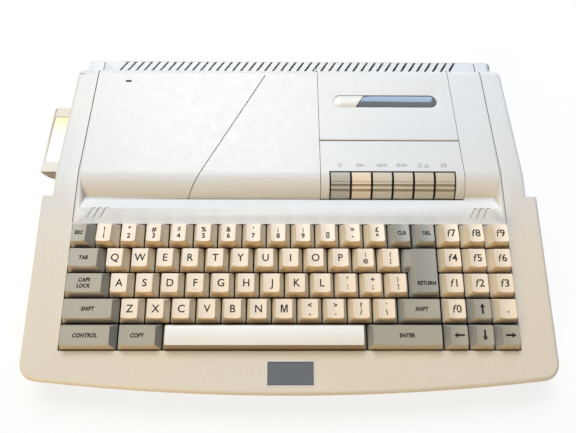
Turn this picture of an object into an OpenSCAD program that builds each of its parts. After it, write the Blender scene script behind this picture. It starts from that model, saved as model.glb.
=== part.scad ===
// Vintage home computer: a one-piece keyboard computer with a built-in cassette deck.
// X points right, Y points to the rear, Z points up. The origin is on the desk, under the
// centre of the case. The keyboard, the bezel and the panel behind the keys lie on one
// tilted plane, the key plane, which meets the level top of the hump at the fold.

/* [Case] */
// Width of the front part, across the keyboard
case_w = 400; // [388:1:430]
// Width of the rear part, behind the side notches
rear_w = 383; // [378:1:386]
// Depth over the front nose and the rear wall
case_d = 290; // [286:1:300]
// Height of the hump above the desk
case_h = 53; // [52.5:0.5:58]
// Slope of the key plane in degrees
key_tilt = 9; // [8:0.5:10]
// Thickness of the moulded walls
wall = 2.5; // [2:0.1:3]
// Height of the parting line between the two case halves
split_h = 16; // [14:0.5:18]
// Radius of the bowed front edge
bow_r = 1770; // [1200:10:3000]
// Plan radius of the front corners
front_corner_r = 14; // [8:1:20]
// Plan radius of the rear corners of the hump
hump_corner_r = 9; // [8:0.5:12]
// Radius of the long upper edges of the case
edge_r = 4; // [3:0.5:5]
// Radius of the roll at the rear of the hump
rear_roll_r = 8; // [7.5:0.5:10]
// Plan radius of the small convex corners at the side notches
notch_r = 3; // [1:0.5:5]
// Depth of the rear ledge that carries the vents, from the roll to the rear wall
ledge_d = 14; // [13:0.5:16]
// Drop of the rear ledge below the hump top
ledge_drop = 7; // [6:0.5:7]
// Width of the rear ledge
ledge_w = 372; // [362:1:376]
// Y of the rear edge of the front part, at the side notches
notch_y = 3.2; // [0:0.1:6]
// Gap between the two case halves
split_gap = 0.4; // [0.3:0.1:0.8]
// Inset of the lower case behind the skin of the upper case
tray_inset = 1.5; // [1:0.1:2]

/* [Recess] */
// Y of the fold, where the key plane meets the hump top
fold_y = 22.7; // [21:0.1:24]
// Y of the front edge of the recess between the key panel and the hump
recess_y0 = -6.9; // [-9:0.1:-5]
// Y of the valley line
valley_y = 3.6; // [2:0.1:5]
// Drop of the valley line below the hump top
valley_drop = 10.5; // [9:0.5:11.5]
// Y at which the front roll of the hump becomes level
roll_y = 24.4; // [23.5:0.1:26]
// Half width of the recess at the hump top
recess_x = 169.8; // [168:0.1:170.5]
// Inward slope of the recess ends, in millimetres over the valley drop
recess_draft = 3.2; // [1:0.1:5]

/* [Grooves] */
// Distance of the long seam grooves from the centre line
seam_x = 171.9; // [171.5:0.1:176]
// Width of the moulded grooves
groove_w = 0.8; // [0.5:0.1:1.2]
// Depth of the moulded grooves
groove_d = 0.9; // [0.5:0.1:1.2]
// Distance between the slanted marks beside the keyboard
mark_pitch = 5.2; // [4.5:0.1:6]
// Height of the slanted marks along the key plane
mark_l = 8.2; // [6:0.1:9]

/* [Vents] */
// Number of slanted vent slots
vent_count = 42; // [20:1:44]
// Distance between two slots
vent_pitch = 7.42; // [7:0.01:7.8]
// Width of a slot
vent_w = 2.2; // [1.5:0.1:3]
// Length of the slots along Y
vent_l = 10.4; // [8:0.1:10.8]
// Sideways lean of a slot from its front to its rear end
vent_lean = 6.4; // [0:0.1:8]

/* [Keyboard] */
// Distance between key centres
key_pitch = 19.05; // [18.5:0.05:19.05]
// Gap between two keycaps at their base
key_gap = 1; // [0.8:0.1:1.6]
// Key travel
key_travel = 3.5; // [2:0.1:4]
// Wall of a keycap
cap_wall = 1.3; // [1:0.1:1.6]
// Inset of a keycap's top face on the left and right
cap_taper = 3; // [2:0.1:3.4]
// Inset of the top face at the front and rear
cap_depth_taper = 2.3; // [1.5:0.1:2.6]
// Shift of the top face towards the rear
cap_shift = 1.5; // [0:0.1:1.8]
// Radius of the finger dish on a key of one unit
dish_r = 20; // [16:0.5:60]
// Depth of the finger dish
dish_d = 0.9; // [0.3:0.1:1]
// Radius of a key's plunger
plunger_r = 2; // [1.6:0.1:2.4]
// Y of the centre of the keyboard
keyboard_y = -67; // [-68:0.1:-66]
// Gap between the outer keycaps and the well
well_gap = 0.8; // [0.5:0.1:1.2]

/* [Cassette deck] */
// Left side of the deck opening
deck_x0 = 24.4; // [20:0.1:28]
// Width of the deck opening
deck_w = 118; // [116:0.5:122]
// Y of the joint between the lid and the fascia
lid_y = 53; // [52:0.1:54]
// Gap round the lid and the fascia
deck_gap = 0.4; // [0.3:0.1:0.6]
// Distance between the piano keys
piano_pitch = 17.08; // [16.5:0.01:17.2]
// Gap between two piano keys
piano_gap = 0.8; // [0.6:0.1:1.2]
// Radius of the lid's hinge nose
lid_nose_r = 1.8; // [1.7:0.1:2]
// Radius of the lid's hinge pins
lid_pin_r = 1; // [0.8:0.05:1.1]
// Width of the grip grooves across the piano keys
grip_w = 2.1; // [1:0.1:2.4]
// Depth of the grip grooves
grip_d = 0.6; // [0.3:0.1:0.8]
// Length of the pill-shaped window
window_l = 89.6; // [70:0.1:94]
// Width of the window
window_w = 11.7; // [9:0.1:14]
// Rise of the window's domed top above the lid
window_rise = 0.9; // [0.2:0.1:1]
// Y of the centre of the window, above the tape hubs
window_y = 93.7; // [90:0.1:97]
// Distance between the two tape hubs
hub_pitch = 42.5; // [42.5:0.1:42.6]
// Running clearance of a shaft in its bore, on the radius
run_gap = 0.06; // [0.03:0.01:0.1]

/* [Cartridge] */
// Width of the cartridge along Y
cart_w = 64.5; // [58:0.5:66]
// Thickness of the cartridge
cart_t = 16; // [14:0.5:17]
// Length of the cartridge
cart_l = 78; // [72:1:82]
// How far the cartridge stands out of the side of the case
cart_out = 18; // [14:0.5:22]
// Y of the centre of the cartridge slot
cart_y = 61.2; // [60:0.1:64]
// Height of the cartridge's mid plane above the desk
cart_z = 34; // [33.5:0.1:35]
// Gap between the cartridge and its slot
cart_gap = 0.6; // [0.4:0.1:1]

/* [Hidden] */
$fn = 64;

big = 600;
cream = [0.90, 0.88, 0.83];
cap_cream = [0.93, 0.86, 0.75];
cap_grey = [0.63, 0.63, 0.59];
dark_plastic = [0.2, 0.2, 0.21];
steel = [0.72, 0.73, 0.75];
board_green = [0.16, 0.38, 0.24];

// Key plane
keyboard_z = case_h - (fold_y - keyboard_y) * tan(key_tilt);
front_y = -case_d / 2;
rear_y = case_d / 2;
// Height of the nose line below the key plane
nose_drop = 4.5;
// Distance of the front nose from the keyboard centre, along the key plane
nose_k = (keyboard_y - front_y + nose_drop * sin(key_tilt)) / cos(key_tilt);
hump_rear_y = rear_y - ledge_d;
ledge_z = case_h - ledge_drop;
roll_r = ((roll_y - valley_y) * (roll_y - valley_y) + valley_drop * valley_drop) / (2 * valley_drop);
valley_z = case_h - valley_drop;
deck_x1 = deck_x0 + deck_w;
deck_mid = (deck_x0 + deck_x1) / 2;
rim_t = 2.5;

// A block of the given side profile, extruded along X between x0 and x1
module along_x(x0, x1) {
    translate([x0, 0, 0]) rotate([90, 0, 90]) linear_extrude(x1 - x0) children();
}

// A block of the given front profile, extruded along Y between y0 and y1
module along_y(y0, y1) {
    translate([0, y1, 0]) rotate([90, 0, 0]) linear_extrude(y1 - y0) children();
}

module on_key_plane() {
    translate([0, keyboard_y, keyboard_z]) rotate([key_tilt, 0, 0]) children();
}

module box(x0, x1, y0, y1, z0, z1) {
    translate([x0, y0, z0]) cube([x1 - x0, y1 - y0, z1 - z0]);
}

// What a round of radius r takes off a square corner at the origin, towards +X +Y
module corner_2d(r) {
    difference() {
        translate([-r, -r]) square(r + 1);
        translate([-r, -r]) circle(r);
    }
}

// ---- Case blocks. "in" moves every face inwards, so the same module gives skin and cavity.

// Section through the front edge: a slab under the key plane with one round upper edge
module nose_section(reach, e) {
    difference() {
        translate([reach - 80, -60]) square([80, 60]);
        translate([reach, 0]) corner_2d(e);
    }
}

// Front part, on the key plane: bowed front, round corners and, on the skin, round upper edges
module front_block(in) {
    w = case_w / 2 - in;
    nose = nose_k - in;
    r = front_corner_r - in;
    bow = bow_r - in;
    bow_y = bow - nose;
    corner_y = bow_y - sqrt((bow - r) * (bow - r) - (w - r) * (w - r));
    half_angle = asin((w + 20) / bow);
    back_k = (notch_y - keyboard_y) / cos(key_tilt) + 12;
    e = in == 0 ? edge_r : 0;
    difference() {
        intersection() {
            union() {
                box(-w, w, -nose + 60, back_k, -60, 0);
                translate([0, bow_y, 0]) rotate([0, 0, -90 - half_angle])
                    rotate_extrude(angle = 2 * half_angle, $fn = 720) nose_section(bow, e);
            }
            along_y(-nose - 20, back_k) difference() {
                translate([-w, -60]) square([2 * w, 60]);
                if (e > 0) for (side = [0, 1]) mirror([side, 0]) translate([w, 0]) corner_2d(e);
            }
        }
        for (side = [0, 1]) mirror([side, 0, 0]) {
            difference() {
                box(w - r, w + 2, corner_y - r - 14, corner_y, -61, 1);
                translate([w - r, corner_y, -62]) cylinder(r = r, h = 64);
            }
            if (e > 0)
                translate([w - r, corner_y, 0]) rotate([0, 0, -90])
                    rotate_extrude(angle = 90) translate([r, 0]) corner_2d(e);
        }
    }
}

// Everything in front of the side notches, with small round outer corners
module notch_trim(in) {
    w = case_w / 2 - in;
    y = notch_y - in;
    difference() {
        box(-big, big, -big, y, -50, 150);
        for (side = [0, 1]) mirror([side, 0, 0])
            translate([w, y, -60]) linear_extrude(big) corner_2d(notch_r);
    }
}

// Rear part, level: two round rear corners and a rolled rear edge
module hump_block(in) {
    w = rear_w / 2 - in;
    y = hump_rear_y - in;
    h = case_h - in;
    roll = rear_roll_r - in;
    r = hump_corner_r - in;
    difference() {
        translate([-w, -80, -20]) cube([2 * w, y + 80, h + 20]);
        for (side = [0, 1]) mirror([side, 0, 0]) {
            translate([w, y, -30]) linear_extrude(big) corner_2d(r);
            if (in == 0) translate([w, 0, h]) along_y(-90, y - r) corner_2d(edge_r);
        }
        translate([0, y, h]) along_x(-w, w) corner_2d(roll);
    }
}

// Rear ledge that carries the vents
module ledge_block(in) {
    w = ledge_w / 2 - in;
    y = rear_y - in;
    h = ledge_z - in;
    difference() {
        translate([-w, 20, -20]) cube([2 * w, y - 20, h + 20]);
        for (side = [0, 1]) mirror([side, 0, 0])
            translate([w, y, -30]) linear_extrude(big) corner_2d(6 - in);
        translate([0, y, h]) along_x(-w - 1, w + 1) corner_2d(2.4);
    }
}

// Narrow rear body: under the key plane and under the hump top at once
module rear_block(in) {
    intersection() {
        hump_block(in);
        on_key_plane() difference() {
            w = rear_w / 2 - in;
            translate([-w, -60, -120]) cube([2 * w, 340, 120 - in]);
            if (in == 0) for (side = [0, 1]) mirror([side, 0, 0])
                translate([w, 0, 0]) along_y(-70, 300) corner_2d(edge_r);
        }
    }
}

module case_skin(in) {
    intersection() {
        on_key_plane() translate([0, 0, -in]) front_block(in);
        notch_trim(in);
    }
    rear_block(in);
    ledge_block(in);
}

// Height of the key plane at a world Y
function key_z(y) = case_h - (fold_y - y) * tan(key_tilt);

// Side profile of the recess between the key panel and the hump, "out" mm larger
module recess_profile(out) {
    lip_z = key_z(recess_y0);
    slope = atan2(lip_z - valley_z, valley_y - recess_y0);
    reach = 30;
    past = 1.5 + out;
    difference() {
        translate([valley_y - out * sin(slope), valley_z - out * cos(slope)])
            polygon([[-2 * reach * cos(slope), 2 * reach * sin(slope)],
                     [past, -past * tan(slope)],
                     [roll_y - valley_y + 2 * out, valley_drop - 2],
                     [roll_y - valley_y + 2 * out, valley_drop + reach]]);
        translate([roll_y, case_h - roll_r]) circle(roll_r - out, $fn = 180);
    }
}

// The recess itself, with ends that lean inwards
module recess(out) {
    top_x = recess_x + out;
    low_x = recess_x - recess_draft + out;
    low_z = valley_z - out - 1;
    high_z = case_h + 4;
    run = (top_x - low_x) / valley_drop;
    intersection() {
        along_x(-top_x - 5, top_x + 5) recess_profile(out);
        along_y(-60, 60) polygon([[-low_x + run, low_z], [low_x - run, low_z],
                                  [top_x + 4 * run, high_z], [-top_x - 4 * run, high_z]]);
    }
}

// ---- Layout shared by several pieces

floor_z = 3;
floor_top = floor_z + wall;
board_z = 8;
board_t = 1.6;
board_top = board_z + board_t;
board_x = rear_w / 2 - 15.5;
board_y0 = -74;
board_y1 = rear_y - 8;
// Keyboard well in the upper case, half sizes on the key plane
well_x = 9 * key_pitch - key_gap / 2 + well_gap;
well_y = 2.5 * key_pitch - key_gap / 2 + well_gap;
// Keyboard frame under the well, half sizes on the key plane
frame_margin = 3.2;
frame_x = 9 * key_pitch + frame_margin;
frame_y = 2.5 * key_pitch + frame_margin;
// Badge plate, in the middle of the front bezel on the key plane
badge_w = 33;
badge_h = 15.6;
badge_t = 0.8;
badge_y = -(nose_k + well_y) / 2;
// Power lens, near the rear left corner of the hump
lens_x = -144;
lens_y = hump_rear_y - 16.4;
lens_w = 4.8;
lens_l = 1.8;
// Screw bosses that join the case halves, near the corners and in the middle of front and rear
boss_r = 4.2;
boss_front_x = case_w / 2 - 16;
boss_rear_x = rear_w / 2 - 9.5;
// Lip of the lower case that locates the upper one
lip_t = 1.2;
lip_in = wall + 0.3;
// Cradle plates beside the cartridge
cradle_gap = 1.2;
cradle_t = 2;
// Y of the front face of the case at a distance x from the centre, just above the parting line
function front_face_y(x) = keyboard_y - nose_k * cos(key_tilt)
    - (split_h + 1 - keyboard_z + nose_k * sin(key_tilt)) * tan(key_tilt)
    + bow_r - sqrt(bow_r * bow_r - x * x);
function boss_front_y(x) = front_face_y(x) + lip_in + lip_t + boss_r + 0.5;
boss_rear_y = max(rear_y - 33, cart_y + cart_w / 2 + cradle_gap + cradle_t + boss_r + 0.6);
boss_xy = [[-boss_front_x, boss_front_y(boss_front_x)], [boss_front_x, boss_front_y(boss_front_x)],
           [0, boss_front_y(0)], [-boss_rear_x, boss_rear_y], [boss_rear_x, boss_rear_y],
           [0, rear_y - 23]];
// Top of the boss at a point, under the skin of the upper case
function boss_top(p) = min(key_z(p[1]), case_h) - 2;
// Tip of the case screw at a point
function screw_tip(p) = min(floor_z + 20, boss_top(p) - 2.9);
// Hinge line of the cassette lid
hinge_y = lid_y + deck_gap + lid_nose_r;
hinge_z = case_h - lid_nose_r;
// Ears of the deck chassis that hold the shaft of the piano keys
ear_t = 1.2;
ear_in = 3 * piano_pitch + 0.2;
// Screws: shank radius and the pilot hole it sits in
screw_r = 1.2;
pilot_r = screw_r + 0.05;
// Heads of the screws in the floor
case_head_r = 3;
// Standoffs under the main board
standoff_r = 3;
standoff_x = board_x - 9;
standoff_xy = concat(
    [for (x = [-standoff_x, -60, 60, standoff_x]) [x, board_y0 + 14]],
    [for (x = [-standoff_x, -30, standoff_x]) [x, 20]],
    [for (x = [-standoff_x, -60, standoff_x]) [x, rear_y - 19]]);
foot_r = 8;
foot_xy = [for (side = [-1, 1]) each [[side * (case_w / 2 - 35), front_y + 37],
                                      [side * (rear_w / 2 - 23.5), rear_y - 23]]];

// Mounting plate of the cassette deck, hung below the hump top
plate_z = case_h - 19;
plate_t = 1.2;
plate_x = ear_in + ear_t + 3.4;
plate_y0 = 31;
plate_y1 = hump_rear_y - 0.5;
// Shaft of the piano keys
shaft_y = 42;
shaft_z = case_h - 7.5;
shaft_r = 1.5;
hub_r = 3.6;
// Lowest point of the piano keys
piano_z0 = case_h - 15.5;
// Posts of the lower case that carry the deck chassis, clear of the ears
screw_head_r = 2.4;
post_in = ear_in - screw_head_r - 0.5;
post_xy = [for (side = [-1, 1], y = [shaft_y - 6, plate_y1 - 5]) [deck_mid + side * post_in, y]];
post_r = 4;
piano_x0 = deck_mid - 3 * piano_pitch;
// Tape drive: reels under the window, capstan in front of them, motor behind
reel_y = window_y;
capstan_x = deck_mid + 29;
capstan_y = 66;
capstan_r = 1;
belt_z = plate_z - 6.8;
wheel_t = 5;
flywheel_r = 20;
motor_x = deck_mid - 27;
motor_y = min(reel_y + 14.3, hump_rear_y - 23);
motor_r = 15;
motor_shaft_r = 1;
motor_z = board_top + 2.4;
motor_flange_t = 1.6;
motor_top = belt_z - wheel_t / 2 - 1.7;
pulley_r = 4;
slide_travel = 2.2;
roller_r = 6.5;
roller_h = 8;
roller_pin_r = 1;
spindle_r = 1.5;
roller_y = capstan_y - capstan_r - roller_r - slide_travel - 0.5;
head_w = 14;

// Sockets: height of their centre line above the desk, and centre X of each rear opening
port_z = 17;
// Room round a socket in its opening
port_clear = 0.8;
aux_x = -168;
analogue_x = -128;
expansion_x = -55;
printer_x = 28;
video_x = 86;
power_x = 114;
switch_x = 146;
// Widths and heights of the socket bodies
aux_w = 11.6;
aux_h = 9.6;
d_port_h = 12;
analogue_w = 39.4;
joystick_w = 30.4;
expansion_w = 73.2;
expansion_h = 11.2;
printer_w = 63.2;
printer_h = 12;
video_r = 7.3;
power_w = 9.6;
power_h = 10.6;
switch_w = 10.4;
// Joystick sockets in the left wall, a little lower than the rear ones
joystick_y = [-52, -16];
joystick_z = port_z - 1.2;
side_x = -case_w / 2;

// D-shaped outline of a plug shell, wide side up
module d_shape(w, h) {
    lean = h * tan(10);
    polygon([[-w / 2, h / 2], [w / 2, h / 2], [w / 2 - lean, -h / 2], [-w / 2 + lean, -h / 2]]);
}

module slot_2d(w, h) {
    translate([-w / 2, -h / 2]) square([w, h]);
}

// Openings in the rear wall, one for each socket; "out" mm larger than the socket
module rear_openings(out) {
    y0 = rear_y - 8;
    y1 = rear_y + 3;
    grow = 2 * out;
    translate([aux_x, 0, port_z]) along_y(y0, y1) slot_2d(aux_w + grow, aux_h + grow);
    translate([analogue_x, 0, port_z]) along_y(y0, y1) slot_2d(analogue_w + grow, d_port_h + grow);
    translate([expansion_x, 0, port_z]) along_y(y0, y1) slot_2d(expansion_w + grow, expansion_h + grow);
    translate([printer_x, 0, port_z]) along_y(y0, y1) slot_2d(printer_w + grow, printer_h + grow);
    translate([video_x, 0, port_z]) along_y(y0, y1) circle(video_r + out);
    translate([power_x, 0, port_z]) along_y(y0, y1) slot_2d(power_w + grow, power_h + grow);
    translate([switch_x, 0, port_z]) along_y(y0, y1) slot_2d(switch_w + grow, switch_w + grow);
}

// Openings for the two joystick sockets in the left side wall
module side_openings(out) {
    for (y = joystick_y)
        translate([0, y, joystick_z]) along_x(side_x - 3, side_x + 8)
            slot_2d(joystick_w + 2 * out, d_port_h + 2 * out);
}

module cartridge_opening() {
    box(-big, -rear_w / 2 + wall + 6, cart_y - cart_w / 2 - cart_gap, cart_y + cart_w / 2 + cart_gap,
        cart_z - cart_t / 2 - cart_gap, cart_z + cart_t / 2 + cart_gap);
}

// ---- Case halves

// Shallow groove that follows the top of the case, where the given plan outline lies
module surface_groove(depth) {
    difference() {
        children();
        translate([0, 0, -depth]) {
            intersection() {
                on_key_plane() box(-big, big, -big, big, -90, 0);
                union() {
                    difference() {
                        hump_block(0);
                        recess(0);
                    }
                    ledge_block(0);
                    box(-big, big, -big, 0, -60, 80);
                }
            }
        }
    }
}

module vents() {
    y0 = hump_rear_y + 1.6;
    x0 = -(vent_count - 1) / 2 * vent_pitch - vent_lean / 2 - 1.5;
    for (i = [0 : vent_count - 1])
        translate([x0 + i * vent_pitch, y0, ledge_z - 6]) linear_extrude(12)
            polygon([[-vent_w / 2, 0], [vent_w / 2, 0],
                     [vent_w / 2 + vent_lean, vent_l], [-vent_w / 2 + vent_lean, vent_l]]);
}

// Three slanted marks on the panel behind the keyboard, each with a short tick at its top
module panel_marks() {
    top_k = 61.3;
    lean = 4;
    t = 0.6;
    for (x = [-161.4, 143.2]) for (i = [0 : 2])
        translate([x + i * mark_pitch, top_k, -groove_d * 0.7]) linear_extrude(3)
            polygon([[0, -mark_l], [t, -mark_l], [lean + t * 0.6, -t], [lean + 2.4, -t],
                     [lean + 2.4, 0], [lean, 0]]);
}

// Diagonal line over the hump: its foot in the valley, its lean and its length along Y
diagonal_x = -84;
diagonal_y0 = 3.4;
diagonal_lean = 61.5;
diagonal_l = hump_rear_y - 8.9 - diagonal_y0;

module upper_case() color(cream) {
    well_wall = 1.6;
    pad_r = 2.4;
    deck_floor = case_h - 15;
    deck_low = case_h - wall - 0.3;
    difference() {
        union() {
            difference() {
                intersection() {
                    case_skin(0);
                    box(-big, big, -big, big, split_h, 90);
                }
                difference() {
                    case_skin(wall);
                    recess(wall);
                }
            }
            // wall round the keyboard well
            on_key_plane() box(-well_x - well_wall, well_x + well_wall,
                               -well_y - well_wall, well_y + well_wall, frame_top_z + 0.4, -1);
            // pads that the keyboard frame hangs from
            on_key_plane() for (x = [-1, 1], y = [-1, 1])
                translate([x * (frame_x - pad_r), y * (frame_y - pad_r), frame_top_z + 0.4])
                    cylinder(r = pad_r, h = 3.6);
            // rims along the deck opening, with a ledge under the fascia
            for (side = [0, 1]) translate([deck_mid, 0, 0]) mirror([side, 0, 0]) {
                box(deck_w / 2, deck_w / 2 + rim_t, valley_y + 2, hump_rear_y - 1, case_h - 11, case_h - 1);
                box(deck_w / 2 - 2.2, deck_w / 2 + 1, roll_y + 3, shaft_y - hub_r - 2.6,
                    deck_low - 2, deck_low);
            }
            // screw bosses
            for (p = boss_xy) translate([p[0], p[1], split_h + 1])
                cylinder(r = boss_r, h = boss_top(p) - split_h);
        }
        recess(0);
        on_key_plane() box(-well_x, well_x, -well_y, well_y, -30, 5);
        difference() {
            box(deck_x0, deck_x1, valley_y - 0.4, hump_rear_y, deck_floor, 80);
            box(deck_x0 - 1, deck_x1 + 1, 0, lid_y, deck_floor - 8, deck_low);
        }
        box(deck_x0 + 2.2, deck_x1 - 2.2, valley_y - 0.4, lid_y, deck_floor, 80);
        box(deck_x0 - 0.01, deck_x1 + 0.01, valley_y - 0.4, roll_y + 3, deck_floor, 80);
        // hinge holes of the cassette lid
        translate([deck_x0 - rim_t + 0.5, hinge_y, hinge_z]) rotate([0, 90, 0])
            cylinder(r = lid_pin_r + run_gap, h = deck_w + 2 * rim_t - 1);
        for (p = boss_xy) translate([p[0], p[1], split_h])
            cylinder(r = pilot_r, h = screw_tip(p) + 0.4 - split_h);
        vents();
        // power lens
        translate([lens_x, lens_y, case_h - 5]) linear_extrude(6) slot_2d(lens_w + 0.4, lens_l + 0.4);
        // recess for the badge plate
        on_key_plane() translate([0, badge_y, -badge_t - 0.1]) linear_extrude(3)
            slot_2d(badge_w + 0.8, badge_h + 0.8);
        on_key_plane() panel_marks();
        // long seams and the diagonal line
        surface_groove(groove_d) for (side = [0, 1]) mirror([side, 0, 0])
            box(seam_x - groove_w / 2, seam_x + groove_w / 2, -18.5, rear_y - 3, 30, 80);
        surface_groove(groove_d) translate([diagonal_x, diagonal_y0, 30]) linear_extrude(50)
            polygon([[0, 0], [groove_w, 0], [groove_w + diagonal_lean, diagonal_l],
                     [diagonal_lean, diagonal_l]]);
        rear_openings(port_clear);
        side_openings(port_clear);
        cartridge_opening();
    }
}

module lower_case() color(cream) {
    rim_z = split_h - split_gap;
    difference() {
        union() {
            difference() {
                intersection() {
                    case_skin(tray_inset);
                    box(-big, big, -big, big, floor_z, rim_z);
                }
                intersection() {
                    case_skin(tray_inset + wall);
                    box(-big, big, -big, big, floor_top, 90);
                }
            }
            // lip that locates the upper case
            difference() {
                intersection() {
                    case_skin(lip_in);
                    box(-big, big, -big, big, rim_z - 3, split_h + 2);
                }
                case_skin(lip_in + lip_t);
            }
            for (p = boss_xy) translate([p[0], p[1], floor_top - 1])
                cylinder(r = boss_r, h = split_h - split_gap - floor_top + 1 + 0.1);
            for (p = post_xy) translate([p[0], p[1], floor_top - 1])
                cylinder(r = post_r, h = plate_z - floor_top + 1);
            for (p = standoff_xy) translate([p[0], p[1], floor_top - 1])
                cylinder(r = standoff_r, h = board_z - floor_top + 1);
            // ribs across the floor
            for (x = [-120, -40, 40, 120])
                box(x - 1, x + 1, front_y + 35, board_y0 - 4, floor_top - 1, floor_top + 3);
            // cradle of the cartridge
            for (side = [0, 1]) translate([0, cart_y, 0]) mirror([0, side, 0])
                translate([-rear_w / 2 + 8, cart_w / 2 + cradle_gap, floor_top - 1])
                    cube([38, cradle_t, cart_z + 5 - floor_top]);
        }
        for (p = boss_xy) translate([p[0], p[1], floor_z - 1]) {
            cylinder(r = screw_r + 0.6, h = 20);
            cylinder(r = case_head_r + 0.6, h = 4.5);
        }
        // room in the lip for the bosses of the upper case
        for (p = boss_xy) translate([p[0], p[1], split_h]) cylinder(r = boss_r + 0.4, h = 5);
        for (p = post_xy) translate([p[0], p[1], plate_z - 10]) cylinder(r = pilot_r, h = 12);
        for (p = foot_xy) translate([p[0], p[1], floor_z - 1]) cylinder(r = foot_r + 0.2, h = 1.6);
        // cooling slots in the floor
        for (x = [-100 : 12 : 100]) box(x - 1.5, x + 1.5, 30, 90, floor_z - 1, floor_top + 1);
        rear_openings(port_clear);
        side_openings(port_clear);
        // clearance under the cartridge slot, where the lip would close it
        box(-big, -rear_w / 2 + wall + 8, cart_y - cart_w / 2 - cart_gap, cart_y + cart_w / 2 + cart_gap,
            cart_z - cart_t / 2 - cart_gap, cart_z + 20);
    }
}

module rubber_feet() color("dimgray") {
    for (p = foot_xy) translate([p[0], p[1], 0]) cylinder(r = foot_r, h = floor_z + 0.6);
}

module case_screws() color(steel) {
    for (p = boss_xy) translate([p[0], p[1], floor_z + 1]) {
        difference() {
            cylinder(r = case_head_r, h = 2.4);
            translate([0, 0, -0.5]) box(-2.2, 2.2, -0.4, 0.4, 0, 1.5);
            translate([0, 0, -0.5]) box(-0.4, 0.4, -2.2, 2.2, 0, 1.5);
        }
        cylinder(r = screw_r, h = screw_tip(p) - floor_z - 1);
    }
    // screws of the deck chassis
    for (p = post_xy) translate([p[0], p[1], plate_z]) {
        translate([0, 0, plate_t]) difference() {
            cylinder(r = screw_head_r, h = 1.5);
            box(-1.8, 1.8, -0.35, 0.35, 0.7, 2);
            box(-0.35, 0.35, -1.8, 1.8, 0.7, 2);
        }
        translate([0, 0, -9]) cylinder(r = screw_r, h = 9 + plate_t + 0.1);
    }
}

module badge_plate() color(dark_plastic) {
    on_key_plane() translate([0, badge_y, -badge_t - 0.1]) linear_extrude(badge_t)
        slot_2d(badge_w, badge_h);
}

module power_lens() color("firebrick") {
    translate([lens_x, lens_y, case_h - 2.2]) linear_extrude(2) slot_2d(lens_w, lens_l);
    translate([lens_x, lens_y, case_h - 4.5]) linear_extrude(2.5) slot_2d(lens_w - 1.6, lens_l - 0.4);
}

// ---- Cassette deck

module deck_fascia() color(cream) {
    x0 = deck_x0 + deck_gap;
    x1 = deck_x1 - deck_gap;
    y1 = lid_y - deck_gap / 4;
    difference() {
        along_x(x0, x1) difference() {
            union() {
                translate([roll_y, case_h - wall]) square([y1 - roll_y, wall]);
                intersection() {
                    translate([roll_y, case_h - roll_r]) circle(roll_r, $fn = 180);
                    translate([valley_y + 0.4, valley_z + 0.4]) square([roll_y - valley_y - 0.4, 30]);
                }
            }
            intersection() {
                translate([roll_y, case_h - roll_r]) circle(roll_r - wall, $fn = 180);
                square([roll_y, 80]);
            }
        }
        box(piano_x0 - piano_gap / 2, piano_x0 + 6 * piano_pitch + piano_gap / 2, 0, roll_y,
            case_h - 25, case_h + 5);
    }
}

module cassette_lid() color(cream) {
    x0 = deck_x0 + deck_gap;
    x1 = deck_x1 - deck_gap;
    low_z = ledge_z + 0.5;
    difference() {
        union() {
            along_x(x0, x1) {
                translate([hinge_y, hinge_z]) circle(lid_nose_r);
                difference() {
                    translate([hinge_y, low_z]) square([hump_rear_y - hinge_y, case_h - low_z]);
                    translate([hump_rear_y, case_h]) corner_2d(rear_roll_r);
                    difference() {
                        translate([hinge_y - 1, low_z - 1])
                            square([hump_rear_y - wall - hinge_y + 1, case_h - wall - low_z + 1]);
                        translate([hump_rear_y - wall, case_h - wall]) corner_2d(rear_roll_r - wall);
                    }
                }
            }
            // cheeks
            for (x = [x0, x1 - 1.8]) along_x(x, x + 1.8) difference() {
                translate([hinge_y + 4, low_z]) square([hump_rear_y - hinge_y - 4, case_h - low_z]);
                translate([hump_rear_y, case_h]) corner_2d(rear_roll_r);
            }
            // rails that carry the cassette
            for (side = [0, 1]) translate([deck_mid, 0, 0]) mirror([side, 0, 0]) {
                box(50.8, 52.6, lid_y + 9, hump_rear_y - 9, plate_z + 3, case_h - wall + 0.5);
                box(48.2, 52.6, lid_y + 9, hump_rear_y - 9, plate_z + 2, plate_z + 3.4);
            }
            translate([x0 - 1.5, hinge_y, hinge_z]) rotate([0, 90, 0])
                cylinder(r = lid_pin_r, h = x1 - x0 + 3);
        }
        // window
        translate([deck_mid, window_y, case_h - wall - 1]) linear_extrude(6) pill(window_l, window_w);
        translate([deck_mid, window_y, case_h - window_seat]) linear_extrude(6)
            pill(window_l + 2 * window_lip, window_w + 2 * window_lip);
    }
}

module pill(l, w) {
    translate([-(l - w) / 2, -w / 2]) square([l - w, w]);
    for (side = [-1, 1]) translate([side * (l - w) / 2, 0]) circle(w / 2);
}

// Depth of the window's seat in the lid
window_seat = 1.1;
// How far that seat is wider than the window on each side, and the gap left in it
window_lip = 0.6;
window_gap = 0.2;

// Half section of the window: a straight edge in its seat and a domed top
module window_section() {
    half = window_w / 2 + window_lip - window_gap;
    edge = window_seat - 0.4;
    rise = window_seat + window_rise - edge;
    dome_r = (half * half + rise * rise) / (2 * rise);
    intersection() {
        square([half, edge + rise]);
        translate([0, edge + rise - dome_r]) circle(dome_r, $fn = 180);
    }
}

module lid_window() color([0.35, 0.42, 0.5]) {
    run = (window_l - window_w) / 2;
    translate([deck_mid, window_y, case_h - window_seat]) {
        along_x(-run, run) for (side = [0, 1]) mirror([side, 0]) window_section();
        for (side = [0, 1]) mirror([side, 0, 0]) translate([run, 0, 0]) rotate([0, 0, -90])
            rotate_extrude(angle = 180) window_section();
    }
    translate([deck_mid, window_y, case_h - wall]) linear_extrude(wall - window_seat + 0.2)
        pill(window_l - 0.6, window_w - 0.6);
}

// Angles on the roll, from its top, at which the grooves across a piano key begin
grip_angles = [24.5, 33.4];
score_angle = 19.8;

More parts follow.
